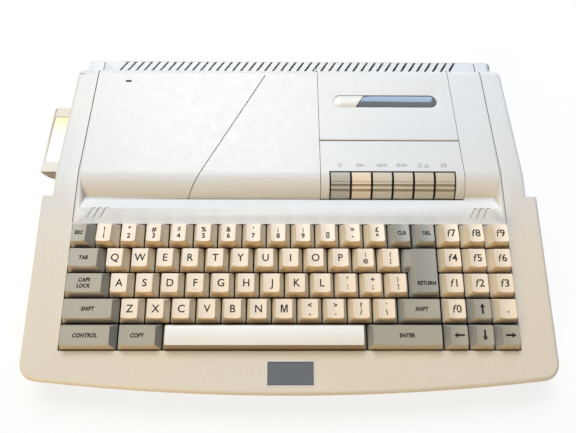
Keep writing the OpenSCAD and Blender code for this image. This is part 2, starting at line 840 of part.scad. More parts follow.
// What a groove between two angles takes off the roll
module roll_cut(from, width, depth) {
    to = from + width / roll_r * 180 / PI;
    far = roll_r + 2;
    intersection() {
        difference() {
            circle(roll_r + 1, $fn = 180);
            circle(roll_r - depth, $fn = 180);
        }
        polygon([[0, 0], far * [-sin(from), cos(from)], far * [-sin(to), cos(to)]]);
    }
}

// One piano key: a curved face, a front skirt and a lever arm with its hub
module piano_key(i, shade) color(shade) {
    x0 = piano_x0 + i * piano_pitch + piano_gap / 2;
    x1 = x0 + piano_pitch - piano_gap;
    front = valley_y + 0.8;
    back = roll_y - 0.4;
    low = piano_z0;
    skin = 2.2;
    rib = 1.6;
    difference() {
        union() {
            along_x(x0, x1) difference() {
                intersection() {
                    translate([roll_y, case_h - roll_r]) circle(roll_r, $fn = 180);
                    translate([front, low]) square([back - front, 30]);
                }
                intersection() {
                    translate([roll_y, case_h - roll_r]) circle(roll_r - skin, $fn = 180);
                    translate([front + skin, low - 1]) square([40, 40]);
                }
            }
            for (x = [x0, x1 - rib, (x0 + x1 - rib) / 2]) along_x(x, x + rib)
                polygon([[front + 0.5, low], [shaft_y, shaft_z - hub_r],
                         [shaft_y, shaft_z + hub_r], [back, case_h - skin - 0.5],
                         [valley_y + 9.4, case_h - 4.4], [front + 0.5, case_h - 10]]);
            translate([x0, shaft_y, shaft_z]) rotate([0, 90, 0]) cylinder(r = hub_r, h = x1 - x0);
        }
        translate([x0 - 1, shaft_y, shaft_z]) rotate([0, 90, 0])
            cylinder(r = shaft_r + run_gap, h = x1 - x0 + 2);
        // scored line and grip grooves
        along_x(x0 - 1, x1 + 1) translate([roll_y, case_h - roll_r]) {
            roll_cut(score_angle, 0.3, 0.25);
            for (a = grip_angles) roll_cut(a, grip_w, grip_d);
        }
    }
}

module key_record() piano_key(0, cap_grey);
module key_play() piano_key(1, cap_cream);
module key_rewind() piano_key(2, cap_cream);
module key_forward() piano_key(3, cap_cream);
module key_stop() piano_key(4, cap_cream);
module key_pause() piano_key(5, cap_cream);

module key_shaft() color(steel) {
    half = ear_in + ear_t + 0.3;
    translate([deck_mid - half, shaft_y, shaft_z]) rotate([0, 90, 0]) cylinder(r = shaft_r, h = 2 * half);
}

module deck_chassis() color(steel) {
    difference() {
        union() {
            box(deck_mid - plate_x, deck_mid + plate_x, plate_y0, plate_y1, plate_z, plate_z + plate_t);
            // ears that hold the key shaft
            for (side = [0, 1]) translate([deck_mid, 0, 0]) mirror([side, 0, 0])
                along_x(ear_in, ear_in + ear_t) {
                    translate([shaft_y - 6, plate_z]) square([12, shaft_z - plate_z]);
                    translate([shaft_y, shaft_z]) circle(4);
                }
            // sleeve of the capstan
            translate([capstan_x, capstan_y, plate_z - 3]) cylinder(r = 3, h = 3 + plate_t + 0.2);
            // sleeves of the two spindles
            for (side = [-1, 1]) translate([deck_mid + side * hub_pitch / 2, reel_y, plate_z - 2.5])
                cylinder(r = 3.6, h = 2.5 + plate_t);
            // columns that carry the motor
            for (a = [20 : 120 : 260]) translate([motor_x, motor_y, 0]) rotate([0, 0, a])
                translate([motor_r + 2.5, 0, motor_top + 0.3])
                    cylinder(r = 2, h = plate_z - motor_top + 0.2);
        }
        translate([0, shaft_y, shaft_z]) rotate([0, 90, 0])
            cylinder(r = shaft_r + run_gap, h = big);
        translate([capstan_x, capstan_y, 0]) cylinder(r = capstan_r + run_gap, h = 60);
        for (side = [-1, 1]) translate([deck_mid + side * hub_pitch / 2, reel_y, 0])
            cylinder(r = spindle_r + run_gap, h = 60);
        for (p = post_xy) translate([p[0], p[1], 0]) cylinder(r = screw_r + 0.4, h = 60);
    }
}

module head_slide() color(steel) {
    z = plate_z + plate_t + 0.3;
    slide_y0 = shaft_y + 6;
    slide_y1 = capstan_y - 9;
    box(deck_mid - 30, capstan_x + 11, slide_y0, slide_y1, z, z + 1);
    // tape head
    translate([deck_mid - head_w / 2, slide_y1 - 7.5, z + 0.5]) cube([head_w, 6.5, 9.5]);
    translate([deck_mid - head_w / 2 + 1, slide_y1 - 1.5, z + 2.5]) cube([head_w - 2, 2, 7]);
    // pin of the pinch roller
    translate([capstan_x, roller_y, z]) cylinder(r = roller_pin_r, h = roller_h + 3);
}

module pinch_roller() color("dimgray") {
    translate([capstan_x, roller_y, 0]) difference() {
        translate([0, 0, plate_z + plate_t + 1.8]) cylinder(r = roller_r, h = roller_h);
        cylinder(r = roller_pin_r + run_gap, h = 60);
    }
}

module capstan_flywheel() color(steel) {
    translate([capstan_x, capstan_y, 0]) {
        difference() {
            translate([0, 0, belt_z - wheel_t / 2]) cylinder(r = flywheel_r, h = wheel_t);
            translate([0, 0, belt_z - 1]) difference() {
                cylinder(r = flywheel_r + 1, h = 2);
                translate([0, 0, -1]) cylinder(r = flywheel_r - 1, h = 4);
            }
        }
        translate([0, 0, belt_z - 4]) cylinder(r = capstan_r, h = plate_z + 12 - belt_z + 4);
    }
}

// One reel spindle, turning in its sleeve
module spindle(side) {
    translate([deck_mid + side * hub_pitch / 2, reel_y, 0]) {
        translate([0, 0, plate_z - 3.6]) cylinder(r = spindle_r, h = 10);
        translate([0, 0, plate_z - 3.9]) cylinder(r = 2.6, h = 1);
        translate([0, 0, plate_z + plate_t + 0.3]) cylinder(r = 8, h = 1.2);
        difference() {
            union() {
                translate([0, 0, plate_z + plate_t + 1]) cylinder(r = 3, h = 9.4);
                for (a = [0 : 120 : 240]) rotate([0, 0, a])
                    translate([0, -0.8, plate_z + plate_t + 1]) cube([4.4, 1.6, 7.5]);
            }
            translate([0, 0, plate_z + 8]) cylinder(r = 1.6, h = 10);
        }
    }
}

module supply_spindle() color("white") spindle(-1);
module takeup_spindle() color("white") spindle(1);

module deck_motor() color(steel) {
    translate([motor_x, motor_y, 0]) difference() {
        union() {
            translate([0, 0, motor_z]) cylinder(r = motor_r, h = motor_top - 1 - motor_z);
            translate([0, 0, motor_top - motor_flange_t]) cylinder(r = motor_r + 5, h = motor_flange_t);
        }
        translate([0, 0, motor_z + 2]) cylinder(r = motor_shaft_r + run_gap, h = 20);
    }
}

module motor_pulley() color("goldenrod") {
    translate([motor_x, motor_y, 0]) {
        difference() {
            translate([0, 0, belt_z - wheel_t / 2]) cylinder(r = pulley_r, h = wheel_t);
            translate([0, 0, belt_z - 1]) difference() {
                cylinder(r = pulley_r + 1, h = 2);
                translate([0, 0, -1]) cylinder(r = pulley_r - 1, h = 4);
            }
        }
        translate([0, 0, motor_z + 3]) cylinder(r = motor_shaft_r, h = belt_z + 1 - motor_z - 3);
    }
}

// Outline of the belt: an arc round the pulley, an arc round the flywheel and two straight runs
module belt_loop(out) {
    dx = capstan_x - motor_x;
    dy = capstan_y - motor_y;
    span = sqrt(dx * dx + dy * dy);
    r0 = pulley_r - 1 + out;
    r1 = flywheel_r - 1 + out;
    lean = acos((r0 - r1) / span);
    steps = 36;
    translate([motor_x, motor_y]) rotate(atan2(dy, dx)) polygon(concat(
        [for (i = [0 : steps]) let (a = lean + (360 - 2 * lean) * i / steps) r0 * [cos(a), sin(a)]],
        [for (i = [0 : steps]) let (a = -lean + 2 * lean * i / steps) [span, 0] + r1 * [cos(a), sin(a)]]));
}

module drive_belt() color([0.12, 0.12, 0.12]) {
    translate([0, 0, belt_z - 0.6]) linear_extrude(1.2) difference() {
        belt_loop(1.0);
        belt_loop(0.3);
    }
}

// ---- Electronics

// A dual in-line chip lying on the board
module chip(x, y, l, w) {
    box(x - l / 2, x + l / 2, y - w / 2, y + w / 2, board_top - 0.1, board_top + 4);
}

module main_board() color(board_green) {
    difference() {
        union() {
            box(-board_x, board_x, board_y0, board_y1, board_z, board_top);
            box(side_x + 10, -board_x + 6, board_y0, joystick_y[1] + 14, board_z, board_top);
            for (x = [-150 : 30 : -30]) chip(x, -40, 24, 8);
            chip(-80, 40, 52, 15);
            chip(-20, 60, 36, 15);
            chip(90, -30, 26, 26);
            for (x = [20 : 16 : 150]) chip(x, -62, 8, 18);
            // smoothing capacitor
            translate([150, 100, board_top - 0.1]) cylinder(r = 6, h = 14);
        }
        for (p = concat(boss_xy, post_xy)) translate([p[0], p[1], 0]) cylinder(r = boss_r + 1, h = 30);
        for (p = standoff_xy) translate([p[0], p[1], 0]) cylinder(r = standoff_r / 2, h = 30);
        for (side = [0, 1]) translate([0, cart_y, 0]) mirror([0, side, 0])
            translate([-rear_w / 2 + 6, cart_w / 2 + cradle_gap - 1, 0]) cube([42, cradle_t + 2, 30]);
    }
}

// Moulded socket body with a D-shaped shell round its contacts
module d_socket(w, h, shell_w, shell_h, depth) {
    difference() {
        union() {
            translate([0, -depth, 0]) along_y(0, depth - 1) slot_2d(w, h);
            translate([0, -1.4, 0]) along_y(0, 1) slot_2d(w, h);
            along_y(-2, 5) d_shape(shell_w, shell_h);
        }
        along_y(0.5, 6) d_shape(shell_w - 1, shell_h - 1);
    }
    along_y(0, 3) d_shape(shell_w - 3, shell_h - 3);
}

// Socket legs that stand on the board, below a socket whose centre is at height z
module on_board(y0, y1, w, z) {
    box(-w / 2, w / 2, y0, y1, board_top - z, -1);
}

module joystick_ports() color("silver") {
    for (y = joystick_y) translate([side_x + 1.6, y, joystick_z]) rotate([0, 0, 90]) {
        d_socket(joystick_w, d_port_h, 18, 9, 11);
        on_board(-11, -4, joystick_w - 4.4, joystick_z);
    }
}

module analogue_port() color("silver") {
    translate([analogue_x, rear_y - 1.6, port_z]) {
        d_socket(analogue_w, d_port_h, 26, 9, 12);
        on_board(-12, -7.2, analogue_w - 5.4, port_z);
    }
}

module aux_socket() color(dark_plastic) {
    translate([aux_x, rear_y - 0.4, 0]) difference() {
        union() {
            translate([0, 0, port_z]) along_y(-14, 0) slot_2d(aux_w, aux_h);
            box(-aux_w / 2, aux_w / 2, -14, -5, board_top, port_z);
        }
        box(-4, 4, -11, 1, port_z - 3.4, port_z + 3.2);
    }
}

module expansion_connector() color(dark_plastic) {
    translate([expansion_x, rear_y - 1, 0]) difference() {
        union() {
            translate([0, 0, port_z]) along_y(-8, 0) slot_2d(expansion_w, expansion_h);
            box(1.6 - expansion_w / 2, expansion_w / 2 - 1.6, -13, -7.2, board_top, port_z + 4);
        }
        translate([0, 0, port_z]) along_y(-7, 1) slot_2d(expansion_w - 6.2, 4.8);
    }
}

module printer_connector() color("silver") {
    translate([printer_x, rear_y - 1, 0]) {
        difference() {
            union() {
                translate([0, 0, port_z]) along_y(-8, 0) slot_2d(printer_w, printer_h);
                box(1.6 - printer_w / 2, printer_w / 2 - 1.6, -13, -7.2, board_top, port_z + 4);
            }
            translate([0, 0, port_z]) along_y(-7, 1) d_shape(printer_w - 9.2, printer_h - 2.6);
        }
        translate([0, 0, port_z]) along_y(-7.5, -1) slot_2d(printer_w - 16.2, 3);
    }
}

module video_socket() color(dark_plastic) {
    translate([video_x, rear_y - 0.6, 0]) {
        difference() {
            union() {
                translate([0, 0, port_z]) along_y(-14, 0) circle(video_r);
                box(-video_r, video_r, -14, -8, board_top, port_z + 7);
            }
            translate([0, 0, port_z]) along_y(-8, 1) circle(video_r - 0.7);
            translate([0, 0, port_z]) for (a = [0 : 45 : 270]) rotate([0, a - 135, 0])
                translate([0, 0, -3.6]) along_y(-11, 0) circle(0.6);
        }
    }
}

module power_socket() color(dark_plastic) {
    translate([power_x, rear_y - 0.6, 0]) {
        difference() {
            union() {
                translate([0, 0, port_z]) along_y(-14, 0) slot_2d(power_w, power_h);
                box(-power_w / 2, power_w / 2, -14, -5, board_top, port_z);
            }
            translate([0, 0, port_z]) along_y(-10, 1) circle(2.9);
            translate([0, 0, port_z]) along_y(-3.2, 1) circle(4);
        }
        translate([0, 0, port_z]) along_y(-11, -3.8) circle(1.05);
    }
}

module power_switch() color(dark_plastic) {
    translate([switch_x, rear_y, port_z]) {
        along_y(-8, 3.6) slot_2d(switch_w, switch_w);
        along_y(-16, -7.5) slot_2d(5, 5);
    }
}

module cartridge_socket() color(dark_plastic) {
    x0 = -rear_w / 2 - cart_out + cart_l + 0.6;
    difference() {
        box(x0, x0 + 13, cart_y - 27, cart_y + 27, board_top, cart_z + 7);
        box(x0 - 1, x0 + 9, cart_y - 23, cart_y + 23, cart_z - 1.2, cart_z + 1.2);
    }
}

module cartridge_case() color(cap_cream) {
    x0 = -rear_w / 2 - cart_out;
    x1 = x0 + cart_l;
    y0 = cart_y - cart_w / 2;
    y1 = cart_y + cart_w / 2;
    z0 = cart_z - cart_t / 2;
    z1 = cart_z + cart_t / 2;
    difference() {
        box(x0, x1, y0, y1, z0, z1);
        // round lower outer edge
        translate([x0, 0, z0]) mirror([1, 0, 0]) mirror([0, 0, 1]) along_y(y0 - 1, y1 + 1) corner_2d(12);
        // rear outer corner
        translate([x0, y1, z0 - 1]) mirror([1, 0, 0]) linear_extrude(cart_t + 2) corner_2d(3);
        // label recess
        box(x0 + 1.4, x0 + 46, y0 + 9, y1 - 9.5, z1 - 0.5, z1 + 1);
        // hollow inside, open towards the socket
        box(x0 + 13, x1 + 1, y0 + 2, y1 - 2, z0 + 2, z1 - 2.4);
    }
}

module cartridge_board() color(board_green) {
    x0 = -rear_w / 2 - cart_out;
    box(x0 + 15, x0 + cart_l + 8, cart_y - 22, cart_y + 22, cart_z - 0.8, cart_z + 0.8);
    box(x0 + 15, x0 + cart_l - 3, cart_y - 29, cart_y + 29, cart_z - 0.8, cart_z + 0.8);
    box(x0 + 24, x0 + 54, cart_y - 8, cart_y + 8, cart_z - 4.5, cart_z - 0.7);
    for (y = [-24, 24]) translate([x0 + 30, cart_y + y, cart_z - cart_t / 2 + 2])
        cylinder(r = 2.4, h = cart_t - 4.4);
}

// ---- Keyboard

// Height of the key tops above the key plane, front row first
row_top = [7.1, 7.1, 7.1, 7.5, 9];
// Forward slope of the key tops, front row first
row_slope = [1.5, 0, -1, -3, -6];
skirt_z = -1;
frame_top_z = -5;
frame_z = -7;
// How far a plunger reaches below the frame plate, and the membrane under it
plunger_reach = 4;
membrane_t = 0.9;
membrane_z = frame_z - plunger_reach - key_travel - membrane_t - 1.2;

// Place of a key: its centre in units across, its row from the front
function u_x(u) = (u - 9) * key_pitch;
function v_y(row) = (row - 2) * key_pitch;

// Half width of a cap's top face: the sides of every cap lean alike, so a taller cap is narrower
function top_half(w, top) = w / 2 - cap_taper * (top - skirt_z) / (row_top[0] - skirt_z);

// Solid outline of a cap: a wedge in both directions
module cap_body(w, d, top, slope, in) {
    z0 = skirt_z - (in > 0 ? 1 : 0);
    top_z = top - in;
    above = top + 2;
    taper = cap_depth_taper;
    intersection() {
        along_y(-d, d) polygon([[-w / 2 + in, z0], [w / 2 - in, z0],
                                [top_half(w, above) - in, above], [-top_half(w, above) + in, above]]);
        along_x(-w, w) polygon([[-d / 2 + in, z0], [d / 2 - in, z0],
                                [d / 2 - taper + cap_shift - in, top_z - (d / 2 - taper) * tan(-slope)],
                                [-d / 2 + taper + cap_shift + in, top_z + (d / 2 - taper) * tan(-slope)]]);
    }
}

// Finger dish across a cap, cut from above: just as deep on a wide key as on one of one unit
module finger_dish(w, d, top, slope) {
    share = top_half(w, top) / top_half(key_pitch - key_gap, top);
    r = dish_r * share * share;
    translate([0, cap_shift, top - dish_d + r]) rotate([slope, 0, 0]) along_y(-d, d) circle(r, $fn = 360);
}

// One keycap with its plunger, by its first unit, width in units and row
module keycap(u, units, row) {
    w = units * key_pitch - key_gap;
    d = key_pitch - key_gap;
    top = row_top[row];
    slope = row_slope[row];
    translate([u_x(u + units / 2), v_y(row), 0]) {
        difference() {
            cap_body(w, d, top, slope, 0);
            cap_body(w, d, top - dish_d, slope, cap_wall);
            finger_dish(w, d, top, slope);
        }
        plungers(units, top);
    }
}

module plungers(units, top) {
    span = units > 3 ? 1.5 * key_pitch : 0;
    for (x = span > 0 ? [-span, span] : [0])
        translate([x, 0, frame_z - plunger_reach])
            cylinder(r = plunger_r, h = top - dish_d - cap_wall / 2 - frame_z + plunger_reach);
}

module key_row(keys, row) {
    for (k = keys) keycap(k[0], k[1], row);
}

// Every plunger position as [x, y]
all_keys = concat(
    [for (u = [0 : 17]) [u, 1, 4]],
    [[0, 1.5, 3]], [for (i = [0 : 11]) [1.5 + i, 1, 3]], [for (i = [15 : 17]) [i, 1, 3]],
    [[0, 1.75, 2]], [for (i = [0 : 11]) [1.75 + i, 1, 2]], [for (i = [15 : 17]) [i, 1, 2]],
    [[0, 2.25, 1]], [for (i = [0 : 10]) [2.25 + i, 1, 1]], [[13.25, 1.75, 1]],
    [for (i = [15 : 17]) [i, 1, 1]],
    [[0, 2.25, 0], [2.25, 1.75, 0], [12, 3, 0]], [for (i = [15 : 17]) [i, 1, 0]],
    // the space bar and the return key
    [[8 - 1.5 - 0.5, 1, 0], [8 + 1.5 - 0.5, 1, 0], [13.75, 1.25, 2.5]]);

module keyboard_frame() color(dark_plastic) {
    on_key_plane() difference() {
        union() {
            box(-frame_x, frame_x, -frame_y, frame_y, frame_z, frame_top_z);
            difference() {
                box(-frame_x, frame_x, -frame_y, frame_y, membrane_z + 1.2, frame_z + 1);
                box(-frame_x + 2, frame_x - 2, -frame_y + 2, frame_y - 2, membrane_z, frame_z + 2);
            }
            for (k = all_keys) translate([u_x(k[0] + k[1] / 2), v_y(k[2]), frame_z - 3])
                cylinder(r = plunger_r + 2, h = 8.5);
        }
        for (k = all_keys) translate([u_x(k[0] + k[1] / 2), v_y(k[2]), -30])
            cylinder(r = plunger_r + 0.3, h = 60);
    }
}

module keyboard_membrane() color([0.75, 0.75, 0.7]) {
    on_key_plane() box(1 - frame_x, frame_x - 1, 1 - frame_y, frame_y - 1,
                         membrane_z, membrane_z + membrane_t);
}

module key_escape() color(cap_grey) on_key_plane() keycap(0, 1, 4);
module key_clear() color(cap_grey) on_key_plane() keycap(13, 1, 4);
module key_delete() color(cap_grey) on_key_plane() keycap(14, 1, 4);
module key_tab() color(cap_grey) on_key_plane() keycap(0, 1.5, 3);
module key_caps_lock() color(cap_grey) on_key_plane() keycap(0, 1.75, 2);
module key_shift_left() color(cap_grey) on_key_plane() keycap(0, 2.25, 1);
module key_shift_right() color(cap_grey) on_key_plane() keycap(13.25, 1.75, 1);
module key_control() color(cap_grey) on_key_plane() keycap(0, 2.25, 0);
module key_copy() color(cap_grey) on_key_plane() keycap(2.25, 1.75, 0);
module key_enter() color(cap_grey) on_key_plane() keycap(12, 3, 0);
module cursor_left() color(cap_grey) on_key_plane() keycap(15, 1, 0);
module cursor_down() color(cap_grey) on_key_plane() keycap(16, 1, 0);
module cursor_right() color(cap_grey) on_key_plane() keycap(17, 1, 0);
module cursor_up() color(cap_grey) on_key_plane() keycap(16, 1, 1);
module number_keys() color(cap_cream) on_key_plane() key_row([for (i = [1 : 12]) [i, 1]], 4);
module top_letter_keys() color(cap_cream) on_key_plane() key_row([for (i = [0 : 11]) [1.5 + i, 1]], 3);
module home_letter_keys() color(cap_cream) on_key_plane() key_row([for (i = [0 : 11]) [1.75 + i, 1]], 2);
module bottom_letter_keys() color(cap_cream) on_key_plane() key_row([for (i = [0 : 10]) [2.25 + i, 1]], 1);

module function_keys() color(cap_cream) on_key_plane() {
    for (row = [2 : 4]) key_row([for (i = [15 : 17]) [i, 1]], row);
    key_row([[15, 1], [17, 1]], 1);
}

// The space bar is crowned instead of dished
module space_bar() color(cap_cream) on_key_plane() {
    w = 8 * key_pitch - key_gap;
    d = key_pitch - key_gap;
    crown_r = 30;
    top = row_top[0];
    translate([u_x(8), v_y(0), 0]) {
        difference() {
            intersection() {
                cap_body(w, d, top + 0.6, 0, 0);
                translate([0, cap_shift, top - crown_r + 0.3]) along_x(-w, w) circle(crown_r, $fn = 180);
            }
            cap_body(w, d, top - 0.4, 0, cap_wall);
        }
        plungers(8, top);
    }
}

// L-shaped return key over two rows: a tall top at the right, a low shelf at the upper left
module key_return() color(cap_grey) on_key_plane() {
    d = 2 * key_pitch - key_gap;
    w = 1.25 * key_pitch - key_gap;
    shelf_w = 1.5 * key_pitch - key_gap;
    shelf_d = key_pitch - key_gap;
    top = row_top[3] - 0.2;
    translate([u_x(13.75 + 0.625), v_y(2.5), 0]) {
        difference() {
            union() {
                cap_body(w, d, top, -1, 0);
                translate([(w - shelf_w) / 2, (d - shelf_d) / 2, 0])
                    cap_body(shelf_w, shelf_d, 3.4, 0, 0);
            }
            cap_body(w, d, top - dish_d, -1, cap_wall);
            translate([(w - shelf_w) / 2, (d - shelf_d) / 2, 0])
                cap_body(shelf_w, shelf_d, 3.4, 0, cap_wall);
            finger_dish(w, d, top, -1);
        }
        plungers(1, top);
    }
}

lower_case();
upper_case();
deck_fascia();
badge_plate();
power_lens();
rubber_feet();
case_screws();
cassette_lid();
lid_window();
key_record();
key_play();
key_rewind();
key_forward();
key_stop();
key_pause();
key_shaft();
deck_chassis();
head_slide();
pinch_roller();
capstan_flywheel();
supply_spindle();
takeup_spindle();
deck_motor();
motor_pulley();
drive_belt();
main_board();
cartridge_socket();
keyboard_frame();
keyboard_membrane();
video_socket();
power_socket();
expansion_connector();
printer_connector();
joystick_ports();
analogue_port();
aux_socket();
power_switch();
cartridge_case();
cartridge_board();
key_escape();
key_tab();
key_caps_lock();
key_shift_left();
key_shift_right();
key_control();
key_copy();
space_bar();
key_enter();
key_return();
key_delete();
key_clear();
cursor_up();
cursor_down();
cursor_left();
cursor_right();
number_keys();
top_letter_keys();
home_letter_keys();
bottom_letter_keys();
function_keys();
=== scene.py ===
# %% [markdown]
# # A home computer with a cassette deck, dressed for its portrait
# The engineering model arrives as a fixed frame: every shell, key, shaft and socket at its real
# place and size, in metres. This lesson gives it the looks: aged plastic, printed key legends,
# the smoked deck window and a plain studio. Nothing in the frame is moved. Where a part needs
# softer edges or a finer form than the frame has, a new piece takes its place.

# %% Load the frame
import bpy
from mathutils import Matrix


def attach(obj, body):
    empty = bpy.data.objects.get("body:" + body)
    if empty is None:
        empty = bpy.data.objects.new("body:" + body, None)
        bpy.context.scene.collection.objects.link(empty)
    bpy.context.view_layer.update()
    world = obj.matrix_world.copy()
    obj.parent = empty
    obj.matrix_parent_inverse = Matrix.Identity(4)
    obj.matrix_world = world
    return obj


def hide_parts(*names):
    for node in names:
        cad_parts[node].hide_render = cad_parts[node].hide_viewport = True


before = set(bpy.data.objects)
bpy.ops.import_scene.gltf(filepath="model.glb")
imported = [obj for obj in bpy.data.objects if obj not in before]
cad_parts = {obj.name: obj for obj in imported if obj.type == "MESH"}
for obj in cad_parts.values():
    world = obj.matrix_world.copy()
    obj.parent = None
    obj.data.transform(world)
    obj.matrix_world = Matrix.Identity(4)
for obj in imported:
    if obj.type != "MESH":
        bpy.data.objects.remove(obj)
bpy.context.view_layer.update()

# %% [markdown]
# The modules follow, and two values that everything else builds on. Blender measures in metres, but
# a moulding is designed in millimetres, so places and sizes are written in millimetres here and
# turned into metres at the last moment. The keyboard leans towards the user by nine degrees.

# %% Modules and units
import math

import bmesh
import bpy
from mathutils import Matrix, Vector

MM = 0.001
KEY_TILT = math.radians(9)


def millimetres(x, y, z):
    """A point given in millimetres, as a vector in metres."""
    return Vector((x, y, z)) * MM


print("the keyboard leans by", round(math.degrees(KEY_TILT)), "degrees")

# %% [markdown]
# Colours are written the way a paint chart gives them, as sRGB hex values. Shaders calculate in
# linear light, so one function converts every colour in this file.

# %% Colours
def linear(hex_colour):
    """A hex colour such as "#f2ead8" as linear RGBA."""
    channels = [int(hex_colour[i:i + 2], 16) / 255 for i in (1, 3, 5)]
    turned = [c / 12.92 if c <= 0.04045 else ((c + 0.055) / 1.055) ** 2.4 for c in channels]
    return (*turned, 1.0)


print("#808080 in linear light:", round(linear("#808080")[0], 3))

# %% [markdown]
# ## The camera
# The machine is seen from above its front edge, from less than 40 cm over the desk, as by someone
# who leans over it. So near, a wide angle is needed to take in the whole machine. The lens is
# worked out from its field of view: a focal distance of 433 pixels for a frame of 576 pixels, on a
# sensor 36 mm wide.

# %% Camera
FOCAL_PIXELS = 433
FRAME_PIXELS = 576
SENSOR_WIDTH = 36
CAMERA_PLACE_MM = (-4.63, -144.88, 365.01)
CAMERA_TURN_DEGREES = (22.463, -0.463, -0.05)

camera_data = bpy.data.cameras.new("portrait_camera")
camera_data.sensor_width = SENSOR_WIDTH
camera_data.lens = FOCAL_PIXELS / FRAME_PIXELS * SENSOR_WIDTH
camera = bpy.data.objects.new("portrait_camera", camera_data)
camera.location = millimetres(*CAMERA_PLACE_MM)
camera.rotation_euler = [math.radians(angle) for angle in CAMERA_TURN_DEGREES]
bpy.context.scene.collection.objects.link(camera)
bpy.context.scene.camera = camera
print("camera: lens", round(camera_data.lens, 2), "mm")

# %% [markdown]
# ## Light
# Pale plastic needs soft light with a direction. A large panel high behind the machine, a little to
# its left, plays a window: it lights every top and leaves the front faces darker, which draws the
# keys. A narrow bluish panel to its right is the strip of sky that the smoked deck window mirrors.
# A low warm panel in front stands for the room and tints the faces that look towards the user.

# %% Light panels
def light_panel(name, place_mm, target_mm, width_mm, height_mm, watts, colour):
    """A rectangular area light at a place, turned to face a target."""
    data = bpy.data.lights.new(name, "AREA")
    data.shape = "RECTANGLE"
    data.size = width_mm * MM
    data.size_y = height_mm * MM
    data.energy = watts
    data.color = linear(colour)[:3]
    light = bpy.data.objects.new(name, data)
    light.location = millimetres(*place_mm)
    facing = millimetres(*target_mm) - light.location
    light.rotation_euler = facing.to_track_quat("-Z", "Y").to_euler()
    bpy.context.scene.collection.objects.link(light)


MACHINE_MIDDLE = (0, 0, 40)
DECK_WINDOW = (80, 90, 50)
light_panel("window_light", (-420, 1310, 2006), MACHINE_MIDDLE, 1200, 1300, 60, "#fdfeff")
light_panel("sky_light", (650, 1500, 1150), DECK_WINDOW, 740, 1500, 15, "#b9d6fa")
light_panel("room_light", (-1100, -1970, 860), MACHINE_MIDDLE, 1200, 1200, 31, "#ffe4b0")


# %% [markdown]
# ## Shader nodes
# Every material in this lesson is built by code. One small function adds a node, sets its
# properties and either links or fills its inputs, so a recipe reads from top to bottom.

# %% The node helper
def add_node(tree, kind, inputs=None, **settings):
    """Adds a shader node. An input given as a socket is linked, any other value is set."""
    node = tree.nodes.new("ShaderNode" + kind)
    for name, value in settings.items():
        setattr(node, name, value)
    for name, value in (inputs or {}).items():
        socket = node.inputs[name]
        if isinstance(value, bpy.types.NodeSocket):
            tree.links.new(value, socket)
        else:
            socket.default_value = value
    return node


def new_material(name):
    """An empty node material, as (material, node tree, output node)."""
    material = bpy.data.materials.new(name)
    material.use_nodes = True
    tree = material.node_tree
    tree.nodes.clear()
    return material, tree, add_node(tree, "OutputMaterial")


print("node helper ready")

# %% [markdown]
# ## Floor and background
# The machine stands on a pale floor that runs out of the picture. To the camera, and to anything
# that mirrors it, floor and background are almost pure white, but a part of the floor stays a real
# diffuse surface, so that the machine keeps its contact shadow.

# %% World
ROOM_GLOW = 0.06

scene = bpy.context.scene
scene.view_settings.view_transform = "Standard"
world = bpy.data.worlds.new("studio")
scene.world = world
world.use_nodes = True
sky = world.node_tree
sky.nodes.clear()
rays = add_node(sky, "LightPath")
seen = add_node(sky, "Math", {0: rays.outputs["Is Camera Ray"], 1: rays.outputs["Is Transmission Ray"]},
                operation="MAXIMUM")
room = add_node(sky, "Background", {"Color": linear("#fff1e0"), "Strength": ROOM_GLOW})
white = add_node(sky, "Background", {"Color": linear("#ffffff"), "Strength": 1.0})
mixed = add_node(sky, "MixShader", {0: seen.outputs[0], 1: room.outputs[0], 2: white.outputs[0]})
add_node(sky, "OutputWorld", {"Surface": mixed.outputs[0]})
print("world:", world.name)

# %% [markdown]
# The floor could be a curved studio sweep. One large square is enough here, because its far edge
# never shows: floor and background share the same white. It lies a hair below the feet, so that the
# two surfaces never fight over the same place.

# %% Floor
FLOOR_SIZE_MM = 6000
FLOOR_DROP_MM = 0.1
GLOW_SHARE = 0.8


def finished_mesh(name, bm):
    """Turns a bmesh into a mesh, and frees the bmesh."""
    mesh = bpy.data.meshes.new(name)
    bm.to_mesh(mesh)
    bm.free()
    return mesh


floor_material, tree, output = new_material("pale_floor")
matt = add_node(tree, "BsdfDiffuse", {"Color": linear("#f4f4f2")})
glow = add_node(tree, "Emission", {"Color": linear("#ffffff"), "Strength": 1.0})
rays = add_node(tree, "LightPath")
seen = add_node(tree, "Math", {0: rays.outputs["Is Camera Ray"], 1: rays.outputs["Is Glossy Ray"]},
                operation="MAXIMUM")
share = add_node(tree, "Math", {0: seen.outputs[0], 1: GLOW_SHARE}, operation="MULTIPLY")
mixed = add_node(tree, "MixShader", {0: share.outputs[0], 1: matt.outputs[0], 2: glow.outputs[0]})
tree.links.new(mixed.outputs[0], output.inputs["Surface"])

bm = bmesh.new()
bmesh.ops.create_grid(bm, x_segments=1, y_segments=1, size=FLOOR_SIZE_MM * MM / 2)
floor = bpy.data.objects.new("floor", finished_mesh("floor", bm))
floor.location.z = -FLOOR_DROP_MM * MM
floor.data.materials.append(floor_material)
scene.collection.objects.link(floor)
print("floor:", FLOOR_SIZE_MM, "mm square")


# %% [markdown]
# ## Aged plastic
# Case and keys are injection moulded in ABS. Three things make such a surface look real: the fine
# grain that the mould's spark-eroded steel leaves, a slow drift of colour where decades of daylight
# have yellowed the plastic unevenly, and a faint unevenness of the gloss where hands have polished
# it. All three are noise textures whose features have a real size. The real grain is about 0.15 mm
# wide. Here it is drawn at 0.5 mm, the finest that still shows.

# %% Patterns with a real size
GRAIN_MM = 0.5
DRIFT_MM = 130
SCUFF_MM = 9
NOISE_LOW = 0.3
NOISE_HIGH = 0.7


def per_metre(size_mm):
    """The Scale of a noise texture whose features are this many millimetres across."""
    return 1 / (size_mm * MM)


